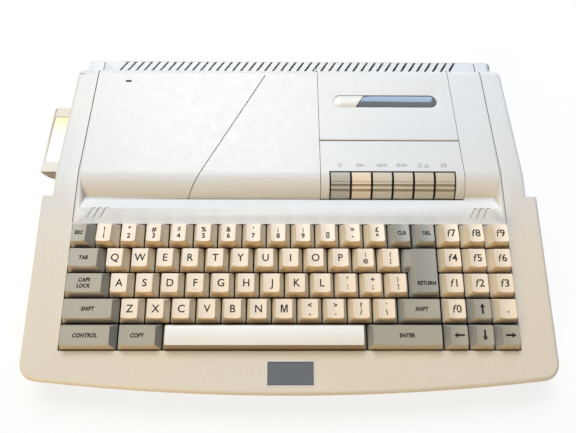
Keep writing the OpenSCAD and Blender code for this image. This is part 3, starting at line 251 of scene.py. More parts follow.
def object_place(tree):
    """The place of a shaded point on its piece, in metres."""
    return add_node(tree, "TexCoord").outputs["Object"]


def facing(tree, direction):
    """How squarely the surface faces a direction: 1 head-on, 0 at a right angle, -1 turned away."""
    return add_node(tree, "VectorMath", {0: add_node(tree, "TexCoord").outputs["Normal"], 1: direction},
                    operation="DOT_PRODUCT").outputs["Value"]


def noise_between(tree, place, size_mm, detail, low, high, roughness=0.5):
    """A noise of this feature size, spread between two values."""
    noise = add_node(tree, "TexNoise", {"Vector": place, "Scale": per_metre(size_mm), "Detail": detail,
                                        "Roughness": roughness})
    return add_node(tree, "MapRange", {"Value": noise.outputs[0], "From Min": NOISE_LOW, "To Min": low,
                                       "From Max": NOISE_HIGH, "To Max": high}).outputs[0]


print("a grain of", GRAIN_MM, "mm is a noise scale of", per_metre(GRAIN_MM))

# %% [markdown]
# The recipe itself comes in two functions, because the case will mix its colour in another way than
# the keys. The first one gives any colour the surface of moulded ABS. A mould leaves a fine radius
# on every edge, and the Bevel node makes the edges catch the light as if they had it. Real bevels
# on every edge would look the same and cost many faces.

# %% The surface of moulded ABS
ABS_IOR = 1.53
PIT_DEPTH_MM = 0.05


def moulded_surface(tree, output, place, colour, roughness, scuff, grain, edge_mm):
    """Moulded ABS of a colour: grain, polish by hands, and edges rounded by a fine radius."""
    gloss = noise_between(tree, place, SCUFF_MM, 6.0, roughness - scuff, roughness + scuff, roughness=0.7)
    pits = add_node(tree, "TexNoise", {"Vector": place, "Scale": per_metre(GRAIN_MM), "Detail": 2.0})
    rounded = add_node(tree, "Bevel", {"Radius": edge_mm * MM}, samples=4)
    relief = add_node(tree, "Bump", {"Height": pits.outputs[0], "Strength": grain,
                                     "Distance": PIT_DEPTH_MM * MM, "Normal": rounded.outputs[0]})
    shader = add_node(tree, "BsdfPrincipled", {"Base Color": colour, "Roughness": gloss,
                                               "Normal": relief.outputs[0]})
    shader.inputs["IOR"].default_value = ABS_IOR
    tree.links.new(shader.outputs[0], output.inputs["Surface"])


print("moulded surface: index of refraction", ABS_IOR)

# %% [markdown]
# The second function lets the colour drift between a fresh and an aged tone, over patches as wide
# as a hand. No patch is quite fresh and none is fully aged. Painted shade comes later and lies on
# top, so a third function lays a colour over any finished material.

# %% Ageing, and painted shade on top
FRESHEST = 0.15
OLDEST = 0.85


def moulded_plastic(name, fresh, aged, roughness=0.48, grain=0.3, scuff=0.06):
    """ABS with a moulded grain that drifts between a fresh and an aged colour."""
    material, tree, output = new_material(name)
    place = object_place(tree)
    drift = add_node(tree, "TexNoise", {"Vector": place, "Scale": per_metre(DRIFT_MM), "Detail": 3.0,
                                        "Roughness": 0.55})
    ageing = add_node(tree, "MapRange", {"Value": drift.outputs[0], "From Min": 0.35, "From Max": 0.68,
                                         "To Min": FRESHEST, "To Max": OLDEST}, clamp=True)
    colour = add_node(tree, "Mix", {0: ageing.outputs[0], 6: linear(fresh), 7: linear(aged)},
                      data_type="RGBA")
    moulded_surface(tree, output, place, colour.outputs[2], roughness, scuff, grain, edge_mm=0.25)
    return material


def lay_shade(material, mask, colour):
    """Lays a colour over a material's own colour, as strongly as a mask says."""
    tree = material.node_tree
    shader = next(node for node in tree.nodes if node.type == "BSDF_PRINCIPLED")
    clean = shader.inputs["Base Color"].links[0].from_socket
    over = add_node(tree, "Mix", {0: mask, 6: clean, 7: colour}, data_type="RGBA")
    tree.links.new(over.outputs[2], shader.inputs["Base Color"])


print("patches of age are about", DRIFT_MM, "mm wide")

# %% [markdown]
# Now the recipe is used. The piano keys come in three tones, since each was moulded in its own
# batch and has aged by itself. Sockets are black, and the spindles that turn the reels are acetal,
# a slippery white plastic that hardly yellows.

# %% Plain plastics
piano_cream = moulded_plastic("piano_key_abs", "#d3cbba", "#c5bba6", roughness=0.4, grain=0.2)
piano_warm = moulded_plastic("play_key_abs", "#ecd9c2", "#e0caac", roughness=0.4, grain=0.2)
piano_grey = moulded_plastic("record_key_abs", "#bdb9b0", "#aea99c", roughness=0.4, grain=0.2)
dark_plastic = moulded_plastic("black_abs", "#1d1d1f", "#26241f", roughness=0.5)
cartridge_plastic = moulded_plastic("cartridge_abs", "#dddcd4", "#cfc8b8", roughness=0.5)
white_plastic = moulded_plastic("spindle_acetal", "#ecebe6", "#e0dccf", roughness=0.35, grain=0.1)
print("plastics:", [m.name for m in bpy.data.materials if m.name.endswith(("abs", "acetal"))])

# %% [markdown]
# A keycap is painted darker on its sides and front than on its top: painted shade, greyish at the
# left and right and brown at the front, where little of the light from above and behind falls. The
# shade is laid on by the direction in which the surface faces. Keys only slide, so that stays true.

# %% Keycap plastic
TO_THE_USER = (0, -1, 0)
TOP_FACES = (0.62, 0.9)
FRONT_FACES = (0.25, 0.75)


def cap_plastic(name, fresh, aged, side, front, roughness=0.42):
    """Moulded ABS with painted shade of these colours on the sides and the front."""
    material = moulded_plastic(name, fresh, aged, roughness=roughness, grain=0.25)
    tree = material.node_tree
    up = facing(tree, (0, -math.sin(KEY_TILT), math.cos(KEY_TILT)))
    steep = add_node(tree, "MapRange", {"Value": up, "From Min": TOP_FACES[0], "From Max": TOP_FACES[1],
                                        "To Min": 1.0, "To Max": 0.0}, clamp=True)
    frontal = add_node(tree, "MapRange", {"Value": facing(tree, TO_THE_USER), "From Min": FRONT_FACES[0],
                                          "From Max": FRONT_FACES[1]}, clamp=True)
    side_and_front_shade = add_node(tree, "Mix", {0: frontal.outputs[0], 6: linear(side), 7: linear(front)},
                    data_type="RGBA")
    # Painted shade: the sides and the front get darker colours than the top.
    lay_shade(material, steep.outputs[0], side_and_front_shade.outputs[2])
    return material


# The last two colours of each cap plastic are painted shade: the sides, then the front.
key_cream = cap_plastic("key_cream_abs", "#f3e6d6", "#eddcc5", "#dccfb9", "#dac1a0")
key_grey = cap_plastic("key_grey_abs", "#b4b1a5", "#a8a394", "#9a9a94", "#c2b49f")
fresh_grey = cap_plastic("fresh_grey_abs", "#a6a7a2", "#9a9890", "#a5a69f", "#b0a796")
space_cream = cap_plastic("space_bar_abs", "#f1f1ef", "#ebe9e3", "#b0a694", "#9c8870", roughness=0.36)
print("keycap plastics ready")

# %% [markdown]
# The case is a warm cream on the bezel round the keys and a cooler white on the top of the hump.
# That is partly yellowing and partly painted light: the warm room light on the front and the cool
# sheen of the window on the hump. Faces that look to the front are made warmer still, which is
# painted warm light. So the case gets the same recipe with two more ingredients: a ramp along the
# depth of the machine, and the direction in which a face looks. The moulded grain also shows as a
# faint mottle.

# %% Age and painted light of the case
WARM_UP_TO_Y = -60
COOL_FROM_Y = 20
FRONT_WARM_LIGHT = 1.1
WARMEST = 1.25
AGE_SWING = 0.22


def case_age_and_light(tree, place):
    """How warm the case is at a point, from age and painted light: 0 at the cool rear, 1 and a little more
    at the front.
    """
    depth = add_node(tree, "SeparateXYZ", {"Vector": place})
    # Warm at the front, cool at the rear: partly yellowing, partly painted light.
    ramp = add_node(tree, "MapRange", {"Value": depth.outputs["Y"], "From Min": WARM_UP_TO_Y * MM,
                                       "From Max": COOL_FROM_Y * MM, "To Min": 1.0, "To Max": 0.0},
                    interpolation_type="SMOOTHSTEP")
    drift = add_node(tree, "TexNoise", {"Vector": place, "Scale": per_metre(DRIFT_MM), "Detail": 2.0,
                                        "Roughness": 0.5})
    swing = add_node(tree, "MapRange", {"Value": drift.outputs[0], "From Min": 0.35, "From Max": 0.65,
                                        "To Min": -AGE_SWING, "To Max": AGE_SWING})
    drifting = add_node(tree, "Math", {0: ramp.outputs[0], 1: swing.outputs[0]}, operation="ADD")
    # Painted warm light: faces that look to the front are made warmer.
    frontal = add_node(tree, "Math", {0: facing(tree, (0, -FRONT_WARM_LIGHT, 0)), 1: 0.0},
                       operation="MAXIMUM")
    age = add_node(tree, "Math", {0: drifting.outputs[0], 1: frontal.outputs[0]}, operation="ADD")
    return add_node(tree, "MapRange", {"Value": age.outputs[0], "From Max": WARMEST,
                                       "To Max": WARMEST}, clamp=True).outputs[0]


print("the case is warm in front of y =", WARM_UP_TO_Y, "mm and cool behind", COOL_FROM_Y, "mm")

# %% [markdown]
# The mottle is multiplied into the colour, a few hundredths up and down. The real grain only
# changes the way the light falls, but at arm's length the eye reads that as small specks of lighter
# and darker plastic.

# %% Case plastic
COOL_CASE = "#d6d7d6"
WARM_CASE = "#ded6c9"
MOTTLE_MM = 1.1
MOTTLE_SHARE = 0.035


def case_plastic(name):
    """Case ABS, aged and with painted light, that runs from a warm front to a cooler rear, with a faint
    mottle.
    """
    material, tree, output = new_material(name)
    place = object_place(tree)
    aged = add_node(tree, "Mix", {0: case_age_and_light(tree, place), 6: linear(COOL_CASE), 7: linear(WARM_CASE)},
                    data_type="RGBA", clamp_factor=False)
    mottle = noise_between(tree, place, MOTTLE_MM, 3.0, 1 - MOTTLE_SHARE, 1 + MOTTLE_SHARE)
    colour = add_node(tree, "VectorMath", {0: aged.outputs[2], "Scale": mottle}, operation="SCALE")
    moulded_surface(tree, output, place, colour.outputs[0], roughness=0.46, scuff=0.06, grain=0.3,
                    edge_mm=0.3)
    return material


case_abs = case_plastic("case_abs")
print("case plastic:", case_abs.name)

# %% [markdown]
# The seams round the lid, the grooves and the foot of every step are darkened, as painted shade where
# walls close in. An ambient occlusion node finds those places, because it measures how much of the
# open space above a point is walled in. Within a reach of a millimetre and a half it sees only seams.

# %% Painted shade in the seams
SEAM_SHADE = "#6b645a"
SEAM_REACH_MM = 1.5
SHUT_SHARE = 0.45
OPEN_SHARE = 0.9
SEAM_SHADE_COVER = 0.9


def shade_seams(material):
    """Darkens a material where walls stand close: most below one share of open space, not above another."""
    tree = material.node_tree
    nook = add_node(tree, "AmbientOcclusion", {"Distance": SEAM_REACH_MM * MM}, samples=8)
    mask = add_node(tree, "MapRange", {"Value": nook.outputs["AO"], "From Min": SHUT_SHARE,
                                       "From Max": OPEN_SHARE, "To Min": SEAM_SHADE_COVER, "To Max": 0.0},
                    clamp=True)
    # Painted shade: a dark brown-grey where walls stand close.
    lay_shade(material, mask.outputs[0], linear(SEAM_SHADE))


# Painted shade in the seams of the case and the cartridge.
for material in (case_abs, cartridge_plastic):
    shade_seams(material)
print("dust in the seams of the case and the cartridge")

# %% [markdown]
# The piano keys are a special case. Their grooves run across a round face, so the brown painted shade
# that sits in them is found by distance from the centre of that round. The sides of each key are
# rounded off, and a narrow strip along both sides is painted dark too, as the shadow in the gaps
# between the keys, and so is the rear edge that dips under the strip behind the keys.

# %% The grooves of the piano keys
ROLL_CENTRE = (24.4, 27.15)
GROOVE_FLOOR = (25.5, 25.8)
GROOVE_SHADE_SHARE = 0.5


def groove_mask(tree, place):
    """Marks the floor of the grooves by its distance from the centre of the key's round."""
    centred = add_node(tree, "VectorMath", {0: place, 1: (0, ROLL_CENTRE[0] * MM, ROLL_CENTRE[1] * MM)},
                       operation="SUBTRACT")
    across = add_node(tree, "VectorMath", {0: centred.outputs[0], 1: (0, 1, 1)}, operation="MULTIPLY")
    radius = add_node(tree, "VectorMath", {0: across.outputs[0]}, operation="LENGTH")
    return add_node(tree, "MapRange", {"Value": radius.outputs["Value"], "From Min": GROOVE_FLOOR[0] * MM,
                                       "From Max": GROOVE_FLOOR[1] * MM, "To Min": GROOVE_SHADE_SHARE,
                                       "To Max": 0.0}, clamp=True).outputs[0]


# The brown in the grooves is painted shade.
print("grime in the grooves, from a radius of", GROOVE_FLOOR[1], "mm inwards")

# %% [markdown]
# The six keys stand side by side at an even pitch. So the strips could be painted on each key, but
# one sum does it for all: the place along the row is counted in pitches, and its fraction tells how
# far a point is from the middle of its own key.

# %% The edges of the piano keys
DECK_MIDDLE_X = 83.4
PIANO_PITCH = 17.08
FIRST_KEY_X = DECK_MIDDLE_X - 2.5 * PIANO_PITCH
SIDE_STRIP_MM = 1.0
STRIP_FADE = 0.8
REAR_STRIP_Y = (22.9, 23.2)
# Painted shade for the grooves, and a painted shadow for the gaps at the sides and the rear.
GROOVE_SHADE = "#75674f"
SHADOW = "#1d1915"


def edge_mask(tree, place):
    """Marks a narrow strip along both sides of every key, and one along the rear."""
    along = add_node(tree, "SeparateXYZ", {"Vector": place})
    first_side = (FIRST_KEY_X - PIANO_PITCH / 2) * MM
    steps = add_node(tree, "MapRange", {"Value": along.outputs["X"], "From Min": first_side,
                                        "From Max": first_side + PIANO_PITCH * MM}, clamp=False)
    within = add_node(tree, "Math", {0: steps.outputs[0]}, operation="FRACT")
    from_middle = add_node(tree, "Math", {0: within.outputs[0], 1: 0.5}, operation="SUBTRACT")
    off = add_node(tree, "Math", {0: from_middle.outputs[0]}, operation="ABSOLUTE")
    strip = SIDE_STRIP_MM / PIANO_PITCH
    sides = add_node(tree, "MapRange", {"Value": off.outputs[0], "From Min": 0.5 - strip,
                                        "From Max": 0.5 - strip * STRIP_FADE}, clamp=True)
    rear = add_node(tree, "MapRange", {"Value": along.outputs["Y"], "From Min": REAR_STRIP_Y[0] * MM,
                                       "From Max": REAR_STRIP_Y[1] * MM}, clamp=True)
    return add_node(tree, "Math", {0: sides.outputs[0], 1: rear.outputs[0]}, operation="MAXIMUM").outputs[0]


for material in (piano_cream, piano_warm, piano_grey):
    tree = material.node_tree
    place = object_place(tree)
    # Painted shade in the grooves, and a painted shadow along the sides and the rear of every key.
    lay_shade(material, groove_mask(tree, place), linear(GROOVE_SHADE))
    lay_shade(material, edge_mask(tree, place), linear(SHADOW))
print("piano keys:", PIANO_PITCH, "mm apart, the first at x =", round(FIRST_KEY_X, 1), "mm")


# %% [markdown]
# ## Metals, rubber and board
# Inside the deck are zinc-plated steel, a turned brass pulley and rubber. Plated steel is a clear
# metal with fine streaks from rolling. A circuit board is glass fibre under a green lacquer.

# %% Metal recipe
def plated_metal(name, colour, roughness, streak_mm):
    """Rolled or turned metal with streaks of this width."""
    material, tree, output = new_material(name)
    stretched = add_node(tree, "Mapping", {"Vector": object_place(tree), "Scale": (0.05, 1, 1)})
    streaks = add_node(tree, "TexNoise", {"Vector": stretched.outputs[0], "Scale": per_metre(streak_mm),
                                          "Detail": 4.0})
    gloss = add_node(tree, "MapRange", {"Value": streaks.outputs[0], "From Min": NOISE_LOW,
                                        "From Max": NOISE_HIGH, "To Min": roughness - 0.08,
                                        "To Max": roughness + 0.1})
    relief = add_node(tree, "Bump", {"Height": streaks.outputs[0], "Strength": 0.2,
                                     "Distance": 0.02 * MM})
    shader = add_node(tree, "BsdfPrincipled", {"Base Color": linear(colour), "Metallic": 1.0,
                                               "Roughness": gloss.outputs[0],
                                               "Normal": relief.outputs[0]})
    tree.links.new(shader.outputs[0], output.inputs["Surface"])
    return material


zinc_plated_steel = plated_metal("zinc_plated_steel", "#b9bcc2", 0.34, 0.8)
turned_brass = plated_metal("turned_brass", "#cfa760", 0.3, 0.4)
print("metals:", zinc_plated_steel.name, "and", turned_brass.name)


# %% [markdown]
# Rubber gets a faint bloom with age: wax that comes to the surface in pale clouds. A slow noise on
# the brightness of the colour is enough for that. The same recipe in a milky grey makes the
# silicone of the contact membrane.

# %% Rubber
BLOOM_MM = 3


def soft_rubber(name, colour, roughness):
    """Matt rubber with a faint bloom."""
    material, tree, output = new_material(name)
    bloom = add_node(tree, "TexNoise", {"Vector": object_place(tree), "Scale": per_metre(BLOOM_MM),
                                        "Detail": 5.0})
    tint = add_node(tree, "HueSaturation", {"Color": linear(colour), "Saturation": 0.9})
    lifted = add_node(tree, "MapRange", {"Value": bloom.outputs[0], "To Min": 0.85, "To Max": 1.2})
    tree.links.new(lifted.outputs[0], tint.inputs["Value"])
    shader = add_node(tree, "BsdfPrincipled", {"Base Color": tint.outputs[0], "Roughness": roughness})
    tree.links.new(shader.outputs[0], output.inputs["Surface"])
    return material


black_rubber = soft_rubber("black_rubber", "#232323", 0.75)
milky_silicone = soft_rubber("milky_silicone", "#b9b8ae", 0.55)
print("rubber:", black_rubber.name, "and", milky_silicone.name)

# %% [markdown]
# Under the lacquer of a circuit board the copper tracks show as lighter lines. They could be an
# image, but a brick pattern gives the same rows of short straight lines without a file: its mortar
# is the copper.

# %% Lacquered board
TRACK_FIELD_MM = 12


def lacquered_board(name, lacquer, track):
    """Green solder lacquer over copper tracks a millimetre apart."""
    material, tree, output = new_material(name)
    tracks = add_node(tree, "TexBrick", {"Vector": object_place(tree), "Scale": per_metre(TRACK_FIELD_MM),
                                         "Color1": (0, 0, 0, 1), "Color2": (0, 0, 0, 1),
                                         "Mortar": (1, 1, 1, 1), "Mortar Size": 0.05,
                                         "Brick Width": 0.4, "Row Height": 0.12})
    colour = add_node(tree, "Mix", {0: tracks.outputs[0], 6: linear(lacquer), 7: linear(track)},
                      data_type="RGBA")
    shader = add_node(tree, "BsdfPrincipled", {"Base Color": colour.outputs[2], "Roughness": 0.3})
    tree.links.new(shader.outputs[0], output.inputs["Surface"])
    return material


board_lacquer = lacquered_board("board_lacquer", "#1f5b34", "#3f7d4c")
print("board:", board_lacquer.name)


# %% [markdown]
# ## Finishes for the inner pieces
# Most of the frame's nodes already have their true form: chassis, flywheel, sockets, board. They
# stay as they are and only get a finish, one for each kind of material.

# %% Finish the frame's own nodes
FINISHES = {
    case_abs: ["lower_case"],
    zinc_plated_steel: ["case_screws", "key_shaft", "deck_chassis", "head_slide", "capstan_flywheel",
                        "deck_motor", "printer_connector", "joystick_ports", "analogue_port"],
    turned_brass: ["motor_pulley"],
    black_rubber: ["rubber_feet", "pinch_roller", "drive_belt"],
    milky_silicone: ["keyboard_membrane"],
    board_lacquer: ["main_board", "cartridge_board"],
    dark_plastic: ["cartridge_socket", "keyboard_frame", "video_socket", "power_socket",
                   "expansion_connector", "aux_socket", "power_switch"],
    white_plastic: ["supply_spindle", "takeup_spindle"],
}


def finish_node(node, material):
    """Gives a node of the frame its finish."""
    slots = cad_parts[node].data.materials
    slots.clear()
    slots.append(material)


for material, nodes in FINISHES.items():
    for node in nodes:
        finish_node(node, material)
print("finished nodes:", sum(len(nodes) for nodes in FINISHES.values()))


# %% [markdown]
# ## Smooth shells
# The upper case, the strip behind the piano keys, the lid, the cartridge and the piano keys are
# curved mouldings. The frame stores them as loose flat triangles, which would show as facets. A
# merged copy with smooth shading keeps every point where it is. Edges that turn by more than 28
# degrees stay sharp, and normals weighted by face area keep the large flat panels flat right up to
# their rounded borders.

# %% Pieces and smooth shading
SHARP_ANGLE = math.radians(28)


def add_piece(name, mesh, body, material, replaces=()):
    """Puts a finished mesh into the scene as a piece that rides on a body."""
    mesh.materials.clear()
    mesh.materials.append(material)
    piece = bpy.data.objects.new(name, mesh)
    scene.collection.objects.link(piece)
    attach(piece, body)
    if replaces:
        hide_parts(*replaces)
    return piece


def shade_smooth(piece, angle=SHARP_ANGLE):
    """Smooth shading that keeps hard edges and flat panels."""
    piece.data.shade_smooth()
    piece.data.set_sharp_from_angle(angle=angle)
    weighted = piece.modifiers.new("flat_panels", "WEIGHTED_NORMAL")
    weighted.keep_sharp = True


print("edges stay sharp from", round(math.degrees(SHARP_ANGLE)), "degrees")

# %% [markdown]
# A copy starts as a bmesh of the node, whose loose triangles are joined wherever their corners
# meet. An optional function may then reshape it before it becomes a piece. The node itself is left
# alone, and the piece takes its place.

# %% Smooth copies
MERGE_MM = 0.002


def merged_copy(node):
    """A bmesh of a frame node with its loose triangles joined."""
    bm = bmesh.new()
    bm.from_mesh(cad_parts[node].data)
    bmesh.ops.remove_doubles(bm, verts=bm.verts, dist=MERGE_MM * MM)
    return bm


def smooth_shell(node, body, material, reshape=None):
    """A merged and smooth copy of a frame node, in the node's place."""
    bm = merged_copy(node)
    if reshape:
        reshape(bm)
    shade_smooth(add_piece(node + "_shell", finished_mesh(node + "_shell", bm), body, material, [node]))


print("points closer than", MERGE_MM, "mm are joined")

# %% [markdown]
# The upper case needs one more touch. A mould rounds the top edge of the hump all the way round, but
# the frame leaves that edge sharp where it turns the two rear corners. Three cuts fence off each
# corner, the fenced area is divided into small faces, and every point that stands above the round
# is let down onto it. Nothing outside the two corners moves.

# %% Round the hump's rear corners
HUMP_CORNER_X = 191.5
HUMP_REAR_Y = 131.0
HUMP_TOP = 53.0
PLAN_RADIUS = 9.0
EDGE_RADIUS = 4.0
CORNER_CUTS = 4
FENCE_SLACK = 0.01
CORNER_X = HUMP_CORNER_X - PLAN_RADIUS
CORNER_Y = HUMP_REAR_Y - PLAN_RADIUS


def in_corner(vert):
    """Whether a point lies within the fence round a rear corner."""
    x, y, z = vert.co / MM
    return (abs(x) > CORNER_X - FENCE_SLACK and z > HUMP_TOP - PLAN_RADIUS
            and CORNER_Y - FENCE_SLACK < y < HUMP_REAR_Y + FENCE_SLACK)


def round_hump_corners(bm):
    """Carries the rounded top edge of the hump's sides around its two rear corners."""
    for place, normal in (((-CORNER_X, 0, 0), (1, 0, 0)), ((CORNER_X, 0, 0), (1, 0, 0)),
                          ((0, CORNER_Y, 0), (0, 1, 0))):
        bmesh.ops.bisect_plane(bm, geom=bm.verts[:] + bm.edges[:] + bm.faces[:],
                               plane_co=millimetres(*place), plane_no=normal)
    edges = [edge for edge in bm.edges if all(in_corner(vert) for vert in edge.verts)]
    bmesh.ops.subdivide_edges(bm, edges=edges, cuts=CORNER_CUTS, use_grid_fill=True)
    for vert in filter(in_corner, bm.verts):
        x, y = (vert.co / MM).xy
        out = math.hypot(abs(x) - CORNER_X, y - CORNER_Y) - (PLAN_RADIUS - EDGE_RADIUS)
        if out > 0:
            limit = HUMP_TOP - EDGE_RADIUS + math.sqrt(max(EDGE_RADIUS ** 2 - out ** 2, 0))
            vert.co.z = min(vert.co.z, limit * MM)


print("corner rounds:", PLAN_RADIUS, "mm in plan,", EDGE_RADIUS, "mm on the edge")

# %% [markdown]
# With both tools at hand, each moulding takes one line. The record key is grey, as a warning not to
# press it by chance, and the play key is a warmer cream than the others.

# %% Make the shells
smooth_shell("upper_case", "root", case_abs, round_hump_corners)
smooth_shell("deck_fascia", "root", case_abs)
smooth_shell("cassette_lid", "lid", case_abs)
smooth_shell("cartridge_case", "cartridge", cartridge_plastic)
for name in ("record", "play", "rewind", "forward", "stop", "pause"):
    plastic = {"record": piano_grey, "play": piano_warm}.get(name, piano_cream)
    smooth_shell("key_" + name, "key_" + name, plastic)
print("smooth shells ready")


# %% [markdown]
# ## Keycaps
# A keycap is a hollow shell with tapered sides. Its top is a shallow trough, which guides the
# fingertip to the middle, and the rows lean differently so that they suit the reach of the hand.
# The frame holds the same caps with sharp edges. Here each cap starts as a cube: its top corners
# move in, the upright edges are rounded, thin cuts divide the top into strips, and the strips sink
# into the trough. The last step rounds the rim, which catches the light as a fine bright line.

# %% Keyboard measures
KEY_PITCH = 19.05
KEY_GAP = 1.0
SIDE_INSET = 3.0
DEPTH_INSET = 2.3
CAP_SHIFT = 1.6
CAP_WALL = 1.3
DISH_DEPTH = 0.95
CROWN_RADIUS = 30
SKIRT_Z = -1.0
ROW_TOP = (7.1, 7.1, 7.1, 7.5, 8.82)
ROW_SLOPE = (1.5, 0, -1, -3, -6)
CORNER_RADIUS = 0.8
RIM_RADIUS = 0.32
STRIP = 1.5
CROWN_RISE = 0.3
CAVITY_DROP = 1.6
LEAST_HEIGHT = 2.0
ON_TOP = 0.02
PLUNGER_RADIUS = 2.0
PLUNGER_Z = -11.0
PLANE_ORIGIN = (0, -67, 38.79)
MIDDLE_PITCH = 9
MIDDLE_ROW = 2

key_plane = (Matrix.Scale(MM, 4) @ Matrix.Translation(PLANE_ORIGIN)
             @ Matrix.Rotation(KEY_TILT, 4, "X"))
print("key plane origin, m:", tuple(round(value, 4) for value in key_plane.translation))

# %% [markdown]
# A cap is made about its own centre and moved to its place at the end. So its measures come first:
# how wide, how high, how steep. The depth of the trough at any point is a function too, because the
# printed legends must follow it later.

# %% The measures of one cap
def cap_spec(start, units, row, depth_rows=1, top=None, slope=None, dish=DISH_DEPTH, crown=False):
    """The measures of one cap in millimetres: its place on the key plane, its size and its top."""
    width = units * KEY_PITCH - KEY_GAP
    depth = depth_rows * KEY_PITCH - KEY_GAP
    top = ROW_TOP[round(row)] if top is None else top
    slope = ROW_SLOPE[round(row)] if slope is None else slope
    return {"x": (start + units / 2 - MIDDLE_PITCH) * KEY_PITCH, "y": (row - MIDDLE_ROW) * KEY_PITCH,
            "width": width, "depth": depth, "top": top, "slope": math.tan(math.radians(slope)),
            "dish": dish, "crown": crown, "inset": SIDE_INSET * (top - SKIRT_Z) / (ROW_TOP[0] - SKIRT_Z)}


def sink(cap, x, y):
    """How far the trough or the crown of a cap drops below its sloped top plane."""
    if cap["crown"]:
        off = y - CAP_SHIFT
        return CROWN_RADIUS - math.sqrt(CROWN_RADIUS ** 2 - off ** 2) - CROWN_RISE
    half = cap["width"] / 2 - cap["inset"]
    return cap["dish"] * max(0, 1 - (x / half) ** 2)


def top_height(cap, x, y):
    """Height of a cap's finished top at a point measured from the cap's centre."""
    return cap["top"] + cap["slope"] * (y - CAP_SHIFT) - sink(cap, x, y)


print("height of a cap's rim over its middle:", DISH_DEPTH, "mm")

# %% [markdown]
# Two tools do the shaping. A flat face can only bend along its edges, so it is cut into strips
# first. A face could be divided evenly in both directions instead, but the trough bends in one
# direction only, and strips need far fewer faces.

# %% Cuts and rounded edges
def cut_strips(bm, axis, half):
    """Thin parallel cuts across a mesh along X (0) or Y (1), a strip apart."""
    count = math.ceil(2 * half / STRIP)
    normal = [0, 0, 0]
    normal[axis] = 1
    for i in range(1, count):
        place = [0, 0, 0]
        place[axis] = -half + 2 * half * i / count
        bmesh.ops.bisect_plane(bm, geom=bm.verts[:] + bm.edges[:] + bm.faces[:], plane_co=place,
                               plane_no=normal)


def bevel_edges(bm, edges, offset, segments):
    """Rounds edges."""
    bmesh.ops.bevel(bm, geom=edges, offset=offset, segments=segments, profile=0.5,
                    affect="EDGES", material=-1, clamp_overlap=True)


print("strips are", STRIP, "mm wide or less")

# %% [markdown]
# The cap starts as a block. Its underside is inset by the thickness of the wall and pushed up into
# the block, which leaves a hollow shell of even thickness, as the core of a mould does.

# %% The block and its hollow
def cap_block(cap):
    """The solid outer form: a cube with its top corners moved in and its upright edges rounded."""
    bm = bmesh.new()
    bmesh.ops.create_cube(bm, size=1)
    half_width, half_depth = cap["width"] / 2, cap["depth"] / 2
    for vert in bm.verts:
        right, rear = math.copysign(1, vert.co.x), math.copysign(1, vert.co.y)
        if vert.co.z > 0:
            x = right * (half_width - cap["inset"])
            y = rear * (half_depth - DEPTH_INSET) + CAP_SHIFT
            vert.co = (x, y, cap["top"] + cap["slope"] * (y - CAP_SHIFT))
        else:
            vert.co = (right * half_width, rear * half_depth, SKIRT_Z)
    upright = [e for e in bm.edges if abs(e.verts[0].co.z - e.verts[1].co.z) > LEAST_HEIGHT]
    bevel_edges(bm, upright, CORNER_RADIUS, 4)
    return bm


def hollow_out(bm, cap):
    """Pushes the underside up into the cap, a wall away from its sides."""
    floor_face = min(bm.faces, key=lambda face: face.normal.z)
    bmesh.ops.inset_region(bm, faces=[floor_face], thickness=CAP_WALL)
    raised = bmesh.ops.extrude_discrete_faces(bm, faces=[floor_face])["faces"][0]
    for vert in raised.verts:
        vert.co.x *= 1 - cap["inset"] / (cap["width"] / 2)
        vert.co.y = vert.co.y * (1 - DEPTH_INSET / (cap["depth"] / 2)) + CAP_SHIFT
        vert.co.z += cap["top"] - SKIRT_Z - CAP_WALL - CAVITY_DROP


print("walls are", CAP_WALL, "mm thick")

# %% [markdown]
# The trough is the last step but one. Each point of the top sinks by the depth of the trough at its
# place. Its front and rear edges slide along the leaning walls as they sink, so the walls stay
# flat. Then the rim is rounded.

# %% One keycap
def sink_top(bm, cap):
    """Lets the top down into its trough, along the sloping front and rear, and rounds its rim."""
    on_top = {v for v in bm.verts
              if abs(v.co.z - cap["slope"] * (v.co.y - CAP_SHIFT) - cap["top"]) < ON_TOP}
    for vert in on_top:
        drop = sink(cap, vert.co.x, vert.co.y)
        front = vert.co.y < CAP_SHIFT
        reach = (DEPTH_INSET + (CAP_SHIFT if front else -CAP_SHIFT)) / (cap["top"] - SKIRT_Z)
        vert.co.y += (-reach if front else reach) * drop
        vert.co.z -= drop
    bm.normal_update()
    rim = [e for e in bm.edges if set(e.verts) <= on_top
           and sum(all(v in on_top for v in face.verts) for face in e.link_faces) == 1]
    bevel_edges(bm, rim, RIM_RADIUS, 3)


def keycap(cap):
    """The bmesh of one cap, in millimetres, about the cap's own centre."""
    bm = cap_block(cap)
    hollow_out(bm, cap)
    cut_strips(bm, 1 if cap["crown"] else 0, (cap["depth"] if cap["crown"] else cap["width"]) / 2)
    sink_top(bm, cap)
    return bm


sample = keycap(cap_spec(0, 1, 3))
print("one cap:", len(sample.verts), "points,", len(sample.faces), "faces")
sample.free()

# %% [markdown]
# Under each cap hangs a round plunger, which slides in a sleeve. Little of it ever shows, but a
# pressed or missing key would reveal it, so it is there. A short function joins such parts into one
# mesh, and another one sets them on the key plane.

# %% Plungers, and the place of a cap
def add_plunger(bm, cap, x):
    """The round stem under a cap, which slides in a sleeve of the keyboard frame."""
    top = cap["top"] - CAP_WALL
    bmesh.ops.create_cone(bm, cap_ends=True, segments=20, radius1=PLUNGER_RADIUS, radius2=PLUNGER_RADIUS,
                          depth=top - PLUNGER_Z,
                          matrix=Matrix.Translation((x, 0, (top + PLUNGER_Z) / 2)))


def join_part(target, part):
    """Adds a bmesh to another one, and frees it."""
    mesh = finished_mesh("part", part)
    target.from_mesh(mesh)
    bpy.data.meshes.remove(mesh)


